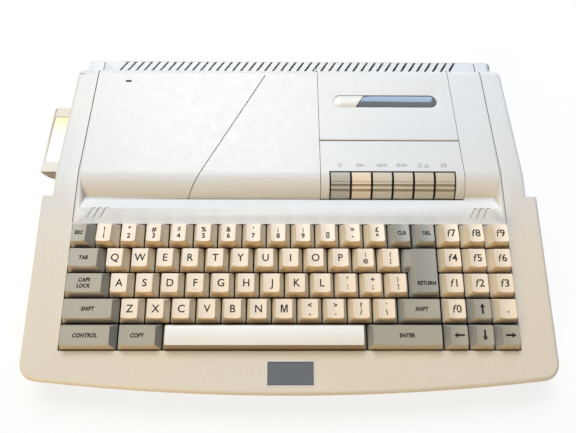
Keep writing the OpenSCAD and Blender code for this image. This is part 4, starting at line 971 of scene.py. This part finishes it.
def place_on_plane(target, part, cap):
    """Moves a part from a cap's own centre to its place in the machine, and adds it to a mesh."""
    part.transform(key_plane @ Matrix.Translation((cap["x"], cap["y"], 0)))
    join_part(target, part)


print("plunger:", PLUNGER_RADIUS * 2, "mm thick")

# %% [markdown]
# ## Which key is where
# The layout is one list of keys. Each entry names the frame's node, the key's left edge and width
# in key pitches, its row from the front, and what is printed on it: one large letter, a pair of
# signs, a word, two lines, or an arrow. Runs of plain keys are added by a short function.

# %% The layout
def letters(node, start, row, legends):
    """A run of keys one pitch wide. Each legend is a letter or a pair of signs."""
    return [(node, start + i, 1, row, legend) for i, legend in enumerate(legends)]


KEYS = [("key_escape", 0, 1, 4, "ESC"), ("key_clear", 13, 1, 4, "CLR"), ("key_delete", 14, 1, 4, "DEL"),
        ("key_tab", 0, 1.5, 3, "TAB"), ("key_caps_lock", 0, 1.75, 2, "CAPS\nLOCK"),
        ("key_shift_left", 0, 2.25, 1, "SHIFT"), ("key_shift_right", 13.25, 1.75, 1, "SHIFT"),
        ("key_control", 0, 2.25, 0, "CONTROL"), ("key_copy", 2.25, 1.75, 0, "COPY"),
        ("key_enter", 12, 3, 0, "ENTER"), ("cursor_up", 16, 1, 1, "up"), ("cursor_left", 15, 1, 0, "left"),
        ("cursor_down", 16, 1, 0, "down"), ("cursor_right", 17, 1, 0, "right")]
KEYS += letters("number_keys", 1, 4, ["!1", "\"2", "#3", "$4", "%5", "&6", "'7", "(8", ")9", "_0", "=-",
                                      "£^"])
KEYS += letters("top_letter_keys", 1.5, 3, [*"QWERTYUIOP", "|@", "{["])
KEYS += letters("home_letter_keys", 1.75, 2, [*"ASDFGHJKL", "*:", "+;", "}]"])
KEYS += letters("bottom_letter_keys", 2.25, 1, [*"ZXCVBNM", "<,", ">.", "?/", "`\\"])
for row, names in ((4, ("f7", "f8", "f9")), (3, ("f4", "f5", "f6")), (2, ("f1", "f2", "f3"))):
    KEYS += letters("function_keys", 15, row, names)
KEYS += [("function_keys", 15, 1, 1, "f0"), ("function_keys", 17, 1, 1, ".")]
FRESH_NODES = ("key_return", "key_clear", "key_delete")
CREAM_NODES = ("number_keys", "top_letter_keys", "home_letter_keys", "bottom_letter_keys", "function_keys")
print("keys with a legend:", len(KEYS))

# %% [markdown]
# Keys that ride on the same body become one piece. The space bar is the odd one: its top is a crown
# instead of a trough, so that the thumb rolls off it, and it stands on two plungers.

# %% Build the caps
CAP_SHARP_ANGLE = math.radians(36)
SPACE_PLUNGERS_X = (-1.5 * KEY_PITCH, 1.5 * KEY_PITCH)


def finish_caps(node, bm):
    """Turns a bmesh of caps into the piece that replaces a node."""
    if node == "space_bar":
        plastic, slot = space_cream, "key_cream"
    elif node in CREAM_NODES:
        plastic, slot = key_cream, "key_cream"
    else:
        plastic, slot = (fresh_grey if node in FRESH_NODES else key_grey), "key_grey"
    piece = add_piece(node + "_caps", finished_mesh(node + "_caps", bm), node, plastic, [node])
    shade_smooth(piece, CAP_SHARP_ANGLE)


cap_nodes = {}
for node, start, units, row, legend in KEYS:
    cap_nodes.setdefault(node, []).append(cap_spec(start, units, row))
cap_nodes["space_bar"] = [cap_spec(4, 8, 0, slope=0, crown=True)]

for node, caps in cap_nodes.items():
    bm = bmesh.new()
    for cap in caps:
        part = keycap(cap)
        for x in (SPACE_PLUNGERS_X if cap["crown"] else (0,)):
            add_plunger(part, cap, x)
        place_on_plane(bm, part, cap)
    finish_caps(node, bm)
print("cap pieces:", len(cap_nodes))

# %% [markdown]
# The return key is L-shaped and spans two rows. A tall cap stands at the right, and a low shelf at
# its upper left fills the gap that the rows leave open. They are one moulding, made here from two
# caps of the same recipe. The shelf is cut off inside the tall cap, where its own front wall would
# meet the sleeve that guides the plunger.

# %% The return key
RETURN_TOP = ROW_TOP[3] - 0.2
SHELF_TOP = 3.4
SHELF_END_X = 93.2
tall = cap_spec(13.75, 1.25, 2.5, depth_rows=2, top=RETURN_TOP, slope=-1)
shelf = cap_spec(13.5, 1.5, 3, top=SHELF_TOP, slope=0, dish=0)
bm = bmesh.new()
for cap in (tall, shelf):
    part = keycap(cap)
    if cap is tall:
        add_plunger(part, cap, 0)
    else:
        bmesh.ops.bisect_plane(part, geom=part.verts[:] + part.edges[:] + part.faces[:], clear_outer=True,
                               plane_co=(SHELF_END_X - cap["x"], 0, 0), plane_no=(1, 0, 0))
    place_on_plane(bm, part, cap)
finish_caps("key_return", bm)
print("return key:", round(tall["width"], 2), "x", round(tall["depth"], 2), "mm")


# %% [markdown]
# ## Printed legends
# The legends are pad-printed: a film of dark ink that follows the trough of the cap. Blender's own
# font is close to the plain sans-serif used on such keys. Each legend is made as flat lettering a
# few hundredths of a millimetre thick, cut into narrow columns and then laid on the cap's surface,
# so that it neither floats above the trough nor cuts into it.

# %% Lettering
LETTER_HEIGHT = 5.6
WORD_HEIGHT = 3.1
SIGN_HEIGHT = 4.0
LETTER_BOLDNESS = 0.014
SIGN_BOLDNESS = 0.03
WORD_BOLDNESS = 0.05
SLANT = 0.2
WORD_WIDTH = 0.88


def text_mesh(text, boldness):
    """The flat outline of a text in the built-in font, made bolder by an offset of its outline."""
    curve = bpy.data.curves.new("lettering", "FONT")
    curve.body = text
    curve.offset = boldness
    curve.space_character = 1 + 2 * boldness
    curve.resolution_u = 4
    holder = bpy.data.objects.new("lettering", curve)
    scene.collection.objects.link(holder)
    mesh = bpy.data.meshes.new_from_object(holder)
    bpy.data.objects.remove(holder)
    bpy.data.curves.remove(curve)
    return mesh


def capital_height(boldness):
    """Height of a capital in font units."""
    mesh = text_mesh("H", boldness)
    heights = [vert.co.y for vert in mesh.vertices]
    bpy.data.meshes.remove(mesh)
    return max(heights) - min(heights)


print("capital height of the font:", round(capital_height(0), 3))

# %% [markdown]
# Print on keys is specified by the height of its capitals. So every line of text is scaled by the
# height of an H of the same boldness. Slant and width are changed point by point, which a text
# object could do too, but not about the centre of a key.

# %% A line of lettering
def lettering(text, height, x, y, lean=0.0, boldness=LETTER_BOLDNESS, widen=1.0):
    """A line of text with capitals of this height, centred on a point of the cap, in millimetres."""
    bm = bmesh.new()
    mesh = text_mesh(text, boldness)
    bm.from_mesh(mesh)
    bpy.data.meshes.remove(mesh)
    size = height / capital_height(boldness)
    middle = (max(v.co.x for v in bm.verts) + min(v.co.x for v in bm.verts)) / 2
    for vert in bm.verts:
        vert.co.x = (vert.co.x - middle) * size * widen
        vert.co.y = vert.co.y * size - height / 2
        vert.co.x += x + lean * vert.co.y
        vert.co.y += y
        vert.co.z = 0
    return bm


print("capitals are", LETTER_HEIGHT, "mm high on letter keys and", WORD_HEIGHT, "mm in words")

# %% [markdown]
# One letter is drawn point by point. An offset that makes the font's capital M bolder fills its
# notch, so half of an M is drawn from two faces, and mirrored.

# %% A capital M
M_WIDTH = 0.92


def letter_m(height, x, y):
    """A bold capital M, centred on a point of the cap."""
    half, stem = M_WIDTH / 2 * height, 0.18 * height
    notch, fork = 0.3 * height, 0.76 * height
    upright = [(half - stem, 0), (half, 0), (half, height), (half - stem, height), (half - stem, fork)]
    slant = [(0, 0), (stem / 2, 0), (half - stem, fork), (half - stem, height), (half - 1.5 * stem, height),
             (0, notch)]
    bm = bmesh.new()
    for points in (upright, slant):
        bm.faces.new([bm.verts.new((px, py - height / 2, 0)) for px, py in points])
    bmesh.ops.mirror(bm, geom=bm.verts[:] + bm.edges[:] + bm.faces[:], axis="X", merge_dist=MERGE_MM)
    bmesh.ops.remove_doubles(bm, verts=bm.verts, dist=MERGE_MM)
    bmesh.ops.recalc_face_normals(bm, faces=bm.faces)
    bm.transform(Matrix.Translation((x, y, 0)))
    return bm


print("a capital M is", round(M_WIDTH * LETTER_HEIGHT, 2), "mm wide")

# %% [markdown]
# The arrows of the cursor keys are not in the font either. They are long bars with a swept-back
# head, so one arrow is drawn from a few points and turned four ways.

# %% An arrow
ARROW_LENGTH = 7.8
ARROW_SHAFT = 0.7
ARROW_HEAD = 2.1
HEAD_LENGTH = 3.2
BARB = 0.5


def arrow(x, y, turn_degrees):
    """An arrow that points along +X, turned by an angle, centred on a point of the cap."""
    bm = bmesh.new()
    half = ARROW_LENGTH / 2
    neck = half - HEAD_LENGTH + BARB
    low, high = [bm.verts.new((neck, side * ARROW_SHAFT, 0)) for side in (-1, 1)]
    tail = [bm.verts.new((-half, side * ARROW_SHAFT, 0)) for side in (1, -1)]
    tip = bm.verts.new((half, 0, 0))
    wings = [bm.verts.new((half - HEAD_LENGTH, side * ARROW_HEAD, 0)) for side in (-1, 1)]
    for corners in ((*tail, low, high), (low, wings[0], tip), (low, tip, high), (high, tip, wings[1])):
        bm.faces.new(corners)
    bm.transform(Matrix.Translation((x, y, 0)) @ Matrix.Rotation(math.radians(turn_degrees), 4, "Z"))
    return bm


print("arrow:", ARROW_LENGTH, "mm long")

# %% [markdown]
# A flat legend laid on a trough would sink into its sides and float over its middle. A Shrinkwrap
# modifier could pull it down, but the height of the cap is known at every point, so the legend is
# cut into narrow columns and each of its points is set to that height. A thin extrusion then gives
# the ink its body.

# %% Lay the ink on a cap
INK_THICKNESS = 0.03
INK_SINK = 0.012
COLUMN = 1.0


def lay_on_cap(bm, cap):
    """Cuts flat lettering into columns, lays it on the cap and gives it the thickness of ink."""
    low, high = min(v.co.x for v in bm.verts), max(v.co.x for v in bm.verts)
    for i in range(1, math.ceil((high - low) / COLUMN)):
        bmesh.ops.bisect_plane(bm, geom=bm.verts[:] + bm.edges[:] + bm.faces[:],
                               plane_co=(low + i * COLUMN, 0, 0), plane_no=(1, 0, 0))
    bmesh.ops.triangulate(bm, faces=bm.faces)
    for vert in bm.verts:
        vert.co.z = top_height(cap, vert.co.x, vert.co.y) - INK_SINK
    bm.normal_update()
    if sum(face.normal.z for face in bm.faces) < 0:
        bmesh.ops.reverse_faces(bm, faces=bm.faces)
    grown = bmesh.ops.extrude_face_region(bm, geom=bm.faces[:])
    for vert in (g for g in grown["geom"] if isinstance(g, bmesh.types.BMVert)):
        vert.co.z += INK_THICKNESS + INK_SINK
    bmesh.ops.recalc_face_normals(bm, faces=bm.faces)


ink_film = moulded_plastic("ink_film", "#121316", "#1c1b19", roughness=0.5, grain=0.0, scuff=0.1)
print("ink:", INK_THICKNESS, "mm thick")

# %% [markdown]
# The legends come in a few kinds. Words are small slanted capitals, and a few short ones stand
# upright. Where a key has two signs, one stands above the other.

# %% Words and signs
TALL_SIGNS = "@|{}[]()"
TALL_SIGN_SHARE = 0.72
UPRIGHT_WORDS = ("ESC", "CLR", "DEL", "RETURN", "ENTER")


def word(text, y):
    """A word in small bold capitals, most of them slanted."""
    return lettering(text, WORD_HEIGHT, 0, y, lean=0.0 if text in UPRIGHT_WORDS else SLANT,
                     boldness=WORD_BOLDNESS, widen=WORD_WIDTH)


def sign(character, y):
    """One sign of a pair. Signs that reach above and below a capital are set smaller."""
    share = TALL_SIGN_SHARE if character in TALL_SIGNS else 1
    return lettering(character, SIGN_HEIGHT * share, 0, y, boldness=SIGN_BOLDNESS)


print("upright words:", *UPRIGHT_WORDS)

# %% [markdown]
# One function turns the short code in the layout into lettering: the name of an arrow, two lines
# with a break between them, a function key with its leaning f, a pair of signs, a word, or a single
# letter.

# %% The legend of a key
ARROW_TURNS = {"right": 0, "up": 90, "left": 180, "down": 270}
PAIR_RISE = 2.6
PAIR_FALL = -2.4
LINE_RISE = 2.2
F_X = -1.9
DIGIT_X = 1.5


def legend_parts(legend):
    """The lettering of one key: a list of bmeshes about the cap's centre."""
    if legend in ARROW_TURNS:
        return [arrow(0, CAP_SHIFT, ARROW_TURNS[legend])]
    if "\n" in legend:
        upper, lower = legend.split("\n")
        return [word(upper, CAP_SHIFT + LINE_RISE), word(lower, CAP_SHIFT - LINE_RISE)]
    if legend[0] == "f":
        return [lettering("f", LETTER_HEIGHT, F_X, CAP_SHIFT, lean=SLANT),
                lettering(legend[1], LETTER_HEIGHT, DIGIT_X, CAP_SHIFT)]
    if len(legend) == 2:
        return [sign(legend[0], CAP_SHIFT + PAIR_RISE), sign(legend[1], CAP_SHIFT + PAIR_FALL)]
    if len(legend) > 2:
        return [word(legend, CAP_SHIFT)]
    if legend == "M":
        return [letter_m(LETTER_HEIGHT, 0, CAP_SHIFT)]
    return [lettering(legend, LETTER_HEIGHT, 0, CAP_SHIFT)]


print("kinds of arrow:", *ARROW_TURNS)

# %% [markdown]
# All the ink that rides on one body is one piece. It takes the place of no node, since the frame
# has no print.

# %% Print the keys
def print_node(node, keys):
    """Prints the legends of one node's keys as one piece of ink."""
    bm = bmesh.new()
    for cap, parts in keys:
        for part in parts:
            lay_on_cap(part, cap)
            place_on_plane(bm, part, cap)
    piece = bpy.data.objects.new(node + "_legends", finished_mesh(node + "_legends", bm))
    piece.data.materials.append(ink_film)
    scene.collection.objects.link(piece)
    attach(piece, node)


printed = {}
for node, start, units, row, legend in KEYS:
    printed.setdefault(node, []).append((cap_spec(start, units, row), legend_parts(legend)))
printed["key_return"] = [(tall, [word("RETURN", CAP_SHIFT - KEY_PITCH / 2)])]
for node, keys in printed.items():
    print_node(node, keys)
print("printed nodes:", len(printed))

# %% [markdown]
# Touch typists find the home keys without looking, because the F key has a small bar moulded near
# its front edge. It is a thin rounded rod that lies half sunk in the cap.

# %% The homing bar
HOMING_KEY = ("home_letter_keys", 4.75, 2)
BAR_LENGTH = 3.6
BAR_RADIUS = 0.35
BAR_FROM_CENTRE = -4.6
BAR_END_ROUND = 0.2

node, start, row = HOMING_KEY
cap = cap_spec(start, 1, row)
y = CAP_SHIFT + BAR_FROM_CENTRE
bm = bmesh.new()
bmesh.ops.create_cone(bm, cap_ends=True, segments=16, radius1=BAR_RADIUS, radius2=BAR_RADIUS,
                      depth=BAR_LENGTH, matrix=Matrix.Translation((0, y, top_height(cap, 0, y)))
                      @ Matrix.Rotation(math.radians(90), 4, "Y"))
ends = [e for e in bm.edges if abs(e.verts[0].co.x - e.verts[1].co.x) < BAR_RADIUS]
bevel_edges(bm, ends, BAR_END_ROUND, 2)
whole = bmesh.new()
place_on_plane(whole, bm, cap)
shade_smooth(add_piece("homing_bar", finished_mesh("homing_bar", whole), node, key_cream))
print("homing bar:", BAR_LENGTH, "mm long")


# %% [markdown]
# ## The deck window
# The window is one long pill with a domed top. Its left end is a cream insert with a slanted edge,
# and the rest is smoked acrylic: dark over the bay, and glossy enough to mirror the room. The frame
# has it as one solid, so a merged copy is cut twice along the slanted edge, and the narrow gap
# between the two cuts becomes the joint.

# %% Window finishes
WIPE_MM = 1.2


def polished_plastic(name, colour, roughness, ior=1.49):
    """Clear-edged acrylic with fine wiping marks in its gloss."""
    material, tree, output = new_material(name)
    wiped = add_node(tree, "Mapping", {"Vector": object_place(tree), "Scale": (0.15, 1, 1)})
    marks = add_node(tree, "TexNoise", {"Vector": wiped.outputs[0], "Scale": per_metre(WIPE_MM),
                                        "Detail": 5.0})
    gloss = add_node(tree, "MapRange", {"Value": marks.outputs[0], "From Min": 0.35, "From Max": 0.75,
                                        "To Min": roughness, "To Max": roughness + 0.06})
    shader = add_node(tree, "BsdfPrincipled", {"Base Color": linear(colour), "Roughness": gloss.outputs[0]})
    shader.inputs["IOR"].default_value = ior
    tree.links.new(shader.outputs[0], output.inputs["Surface"])
    return material


smoked_acrylic = polished_plastic("smoked_acrylic", "#70767e", 0.05, ior=1.9)
insert_abs = moulded_plastic("insert_abs", "#e4e4e2", "#dfd9cf", roughness=0.32, grain=0.1)
smoked_lens = polished_plastic("smoked_lens", "#2c2f31", 0.4, ior=1.3)
print("window finishes ready")

# %% [markdown]
# Each part keeps its own side of the cut. The open end is closed with a face, so that the parts
# stay solid when the lid is seen from below.

# %% Cut the window in two
SPLIT_X = 61.4
SPLIT_Y = 93.7
SPLIT_LEAN = 8.0
WINDOW_DEPTH = 12.5
JOINT_GAP = 0.6
WINDOW_SHARP_ANGLE = math.radians(20)


def window_part(name, side, material):
    """The part of the window left (-1) or right (1) of the slanted joint."""
    bm = merged_copy("lid_window")
    across = Vector((WINDOW_DEPTH, -SPLIT_LEAN, 0)).normalized()
    place = millimetres(SPLIT_X, SPLIT_Y, 0) + across * side * JOINT_GAP / 2 * MM
    cut = bmesh.ops.bisect_plane(bm, geom=bm.verts[:] + bm.edges[:] + bm.faces[:], plane_co=place,
                                 plane_no=across, clear_inner=side > 0, clear_outer=side < 0)
    border = [g for g in cut["geom_cut"] if isinstance(g, bmesh.types.BMEdge)]
    bmesh.ops.holes_fill(bm, edges=border)
    bmesh.ops.recalc_face_normals(bm, faces=bm.faces)
    mesh = finished_mesh(name, bm)
    mesh.shade_smooth()
    mesh.set_sharp_from_angle(angle=WINDOW_SHARP_ANGLE)
    add_piece(name, mesh, "lid", material, ["lid_window"])


window_part("window_insert", -1, insert_abs)
window_part("window_pane", 1, smoked_acrylic)
finish_node("power_lens", smoked_lens)
print("window in two pieces, joint at x =", SPLIT_X, "mm")

# %% [markdown]
# ## The name plate
# In the middle of the front bezel a satin aluminium plate lies in a shallow recess. It is left
# bare here. What sets it off is its surround: a fine moulded lip that catches the light, and the
# dark gap between lip and plate. The lip is also made in a whiter plastic than the case, which is a
# painted highlight round the plate.

# %% Satin plate
def satin_plate(name, colour, brush_mm):
    """Painted aluminium with a fine brush along its length."""
    material, tree, output = new_material(name)
    along = add_node(tree, "Mapping", {"Vector": object_place(tree), "Scale": (0.03, 1, 1)})
    brush = add_node(tree, "TexNoise", {"Vector": along.outputs[0], "Scale": per_metre(brush_mm),
                                        "Detail": 3.0})
    gloss = add_node(tree, "MapRange", {"Value": brush.outputs[0], "From Min": NOISE_LOW,
                                        "From Max": NOISE_HIGH, "To Min": 0.28, "To Max": 0.42})
    relief = add_node(tree, "Bump", {"Height": brush.outputs[0], "Strength": 0.15,
                                     "Distance": 0.02 * MM})
    shader = add_node(tree, "BsdfPrincipled", {"Base Color": linear(colour), "Roughness": gloss.outputs[0],
                                               "Normal": relief.outputs[0]})
    shader.inputs["IOR"].default_value = 1.5
    tree.links.new(shader.outputs[0], output.inputs["Surface"])
    return material


plate_grey = satin_plate("plate_grey", "#6d737a", 0.3)
finish_node("badge_plate", plate_grey)
print("plate finish:", plate_grey.name)

# %% [markdown]
# The lip is a frame. It could be four bars, but their mitred corners would have to be cut. An inset
# does it in one step: a flat rectangle is inset by the width of the lip, the middle is deleted, and
# the rest is raised and rounded.

# %% The lip round the plate
PLATE_SIZE = (33.0, 15.6)
PLATE_Y = -63.8
RECESS_GAP = 0.4
LIP_WIDTH = 0.9
LIP_HEIGHT = 0.22
LIP_ROUND = 0.176


def raised_rim(bm, thickness, rise):
    """Turns a flat face into a wall of this thickness along its border. Returns its upper points."""
    ring = bmesh.ops.inset_region(bm, faces=bm.faces[:], thickness=thickness, use_boundary=True,
                                  use_even_offset=True)["faces"]
    bmesh.ops.delete(bm, geom=[f for f in bm.faces if f not in ring], context="FACES")
    grown = bmesh.ops.extrude_face_region(bm, geom=bm.faces[:])["geom"]
    raised = {g for g in grown if isinstance(g, bmesh.types.BMVert)}
    for vert in raised:
        vert.co.z += rise
    bmesh.ops.recalc_face_normals(bm, faces=bm.faces)
    return raised


bm = bmesh.new()
bmesh.ops.create_grid(bm, x_segments=1, y_segments=1, size=0.5)
for vert in bm.verts:
    vert.co.x *= PLATE_SIZE[0] + 2 * (RECESS_GAP + LIP_WIDTH)
    vert.co.y *= PLATE_SIZE[1] + 2 * (RECESS_GAP + LIP_WIDTH)
raised = raised_rim(bm, LIP_WIDTH, LIP_HEIGHT)
bevel_edges(bm, [e for e in bm.edges if set(e.verts) <= raised and e.calc_face_angle(0) > 1], LIP_ROUND, 3)
bm.transform(key_plane @ Matrix.Translation((0, PLATE_Y, 0)))
# Painted highlight: the lip is in the whiter insert plastic, lighter than the case round it.
shade_smooth(add_piece("plate_lip", finished_mesh("plate_lip", bm), "root", insert_abs))
print("name plate:", PLATE_SIZE, "mm, lip", LIP_WIDTH, "mm wide")

# %% [markdown]
# ## The cartridge label
# A cartridge carries a paper label in a shallow recess. Most of it hides inside the machine. The
# strip that shows is white, with a pale yellow field at its rear end that fades forward in a fine
# halftone, and no words. The rounded front of the cartridge turns down, away from the light, and is
# painted brown there: painted shade.

# %% Painted shade on the cartridge's front
SHADED_FRONT_FACES = (0.15, 0.6)
FRONT_SHADE_COVER = 0.9
FRONT_SHADE_BROWN = "#7d6a52"

tree = cartridge_plastic.node_tree
front_shade = add_node(tree, "MapRange", {"Value": facing(tree, TO_THE_USER), "From Min": SHADED_FRONT_FACES[0],
                                      "From Max": SHADED_FRONT_FACES[1], "To Max": FRONT_SHADE_COVER}, clamp=True)
# Painted shade: faces that look to the front are laid over with a dark brown.
lay_shade(cartridge_plastic, front_shade.outputs[0], linear(FRONT_SHADE_BROWN))
print("handling marks on", cartridge_plastic.name)

# %% [markdown]
# The paper has a thickness of its own, a sixth of a millimetre, so its edge casts a fine shadow in
# the recess. Its corners are rounded, as a die cuts them.

# %% Label
LABEL_X = (-207.9, -163.7)
LABEL_Y = (38.2, 83.7)
LABEL_Z = 41.5
PAPER_THICKNESS = 0.16
FADE_FROM_MM = 60
FADE_TO_MM = 80
HALFTONE_MM = 0.8
LABEL_CORNER = 1.0


def printed_paper(name, paper, tint):
    """White paper with a tinted field that fades in towards the rear."""
    material, tree, output = new_material(name)
    place = object_place(tree)
    depth = add_node(tree, "SeparateXYZ", {"Vector": place})
    field = add_node(tree, "MapRange", {"Value": depth.outputs["Y"], "From Min": FADE_FROM_MM * MM,
                                        "From Max": FADE_TO_MM * MM, "To Min": -0.3, "To Max": 0.9})
    dots = noise_between(tree, place, HALFTONE_MM, 1.0, -0.2, 0.2)
    amount = add_node(tree, "Math", {0: field.outputs[0], 1: dots}, operation="ADD", use_clamp=True)
    colour = add_node(tree, "Mix", {0: amount.outputs[0], 6: linear(paper), 7: linear(tint)},
                      data_type="RGBA")
    shader = add_node(tree, "BsdfPrincipled", {"Base Color": colour.outputs[2], "Roughness": 0.55})
    tree.links.new(shader.outputs[0], output.inputs["Surface"])
    return material


label_paper = printed_paper("label_paper", "#f6f6f2", "#ffe9b0")
bm = bmesh.new()
bmesh.ops.create_cube(bm, size=1)
for vert in bm.verts:
    vert.co = millimetres(LABEL_X[0] if vert.co.x < 0 else LABEL_X[1],
                          LABEL_Y[0] if vert.co.y < 0 else LABEL_Y[1],
                          LABEL_Z if vert.co.z < 0 else LABEL_Z + PAPER_THICKNESS)
upright = [e for e in bm.edges if abs(e.verts[0].co.z - e.verts[1].co.z) > PAPER_THICKNESS / 2 * MM]
bevel_edges(bm, upright, LABEL_CORNER * MM, 4)
add_piece("cartridge_label", finished_mesh("cartridge_label", bm), "cartridge", label_paper)
print("label:", round(LABEL_X[1] - LABEL_X[0], 1), "x", round(LABEL_Y[1] - LABEL_Y[0], 1), "mm")

# %% [markdown]
# ## Tape symbols
# Each piano key has its usual symbol moulded into the strip behind it: circle, triangle, double
# triangles, square with triangle, two bars. They are raised outlines in the colour of the case, a
# quarter of a millimetre high, which show only by the shade on their sides.

# %% Symbol outlines
SYMBOL_HEIGHT = 3.3
SYMBOL_Y = 30.0
SYMBOL_RISE = 0.26
STROKE = 0.45


def outline(points):
    """A raised outline: a closed run of points as a thin wall, in millimetres."""
    bm = bmesh.new()
    bm.faces.new([bm.verts.new((x, y, 0)) for x, y in points])
    bm.normal_update()
    if bm.faces[:][0].normal.z < 0:
        bmesh.ops.reverse_faces(bm, faces=bm.faces)
    raised_rim(bm, STROKE, SYMBOL_RISE)
    return bm


def circle_points(radius, count=24):
    """Points round a circle."""
    return [(radius * math.cos(2 * math.pi * i / count), radius * math.sin(2 * math.pi * i / count))
            for i in range(count)]


def triangle_points(x, length, turn):
    """A triangle as tall as a symbol that points right (1) or left (-1), with its middle at x."""
    half = SYMBOL_HEIGHT / 2
    return [(x - turn * length / 2, -half), (x + turn * length / 2, 0), (x - turn * length / 2, half)]


def bar_points(x, width):
    """An upright bar as tall as a symbol."""
    half = SYMBOL_HEIGHT / 2
    return [(x - width / 2, -half), (x + width / 2, -half), (x + width / 2, half), (x - width / 2, half)]


print("symbols:", SYMBOL_HEIGHT, "mm high")

# %% [markdown]
# From left to right: record, play, rewind, forward, stop with eject, pause. Each symbol is a list
# of closed outlines about its own centre, and the row of them follows the pitch of the piano keys.

# %% The six symbols
SINGLE_LENGTH = 6.4
DOUBLE_LENGTH = 4.2
DOUBLE_X = 2.3
STOP_X = -2.6
EJECT_X = (0.8, 5.0, 2.9)
PAUSE_X = 1.4
PAUSE_WIDTH = 1.7

half = SYMBOL_HEIGHT / 2
SYMBOLS = [[circle_points(half)],
           [triangle_points(0, SINGLE_LENGTH, 1)],
           [triangle_points(x, DOUBLE_LENGTH, -1) for x in (-DOUBLE_X, DOUBLE_X)],
           [triangle_points(x, DOUBLE_LENGTH, 1) for x in (-DOUBLE_X, DOUBLE_X)],
           [bar_points(STOP_X, SYMBOL_HEIGHT), list(zip(EJECT_X, (-half, -half, half)))],
           [bar_points(x, PAUSE_WIDTH) for x in (-PAUSE_X, PAUSE_X)]]
bm = bmesh.new()
for i, shapes in enumerate(SYMBOLS):
    for points in shapes:
        part = outline(points)
        part.transform(Matrix.Scale(MM, 4)
                       @ Matrix.Translation((FIRST_KEY_X + i * PIANO_PITCH, SYMBOL_Y, HUMP_TOP)))
        join_part(bm, part)
add_piece("tape_symbols", finished_mesh("tape_symbols", bm), "root", case_abs)
print("tape symbols:", sum(len(shapes) for shapes in SYMBOLS), "outlines")
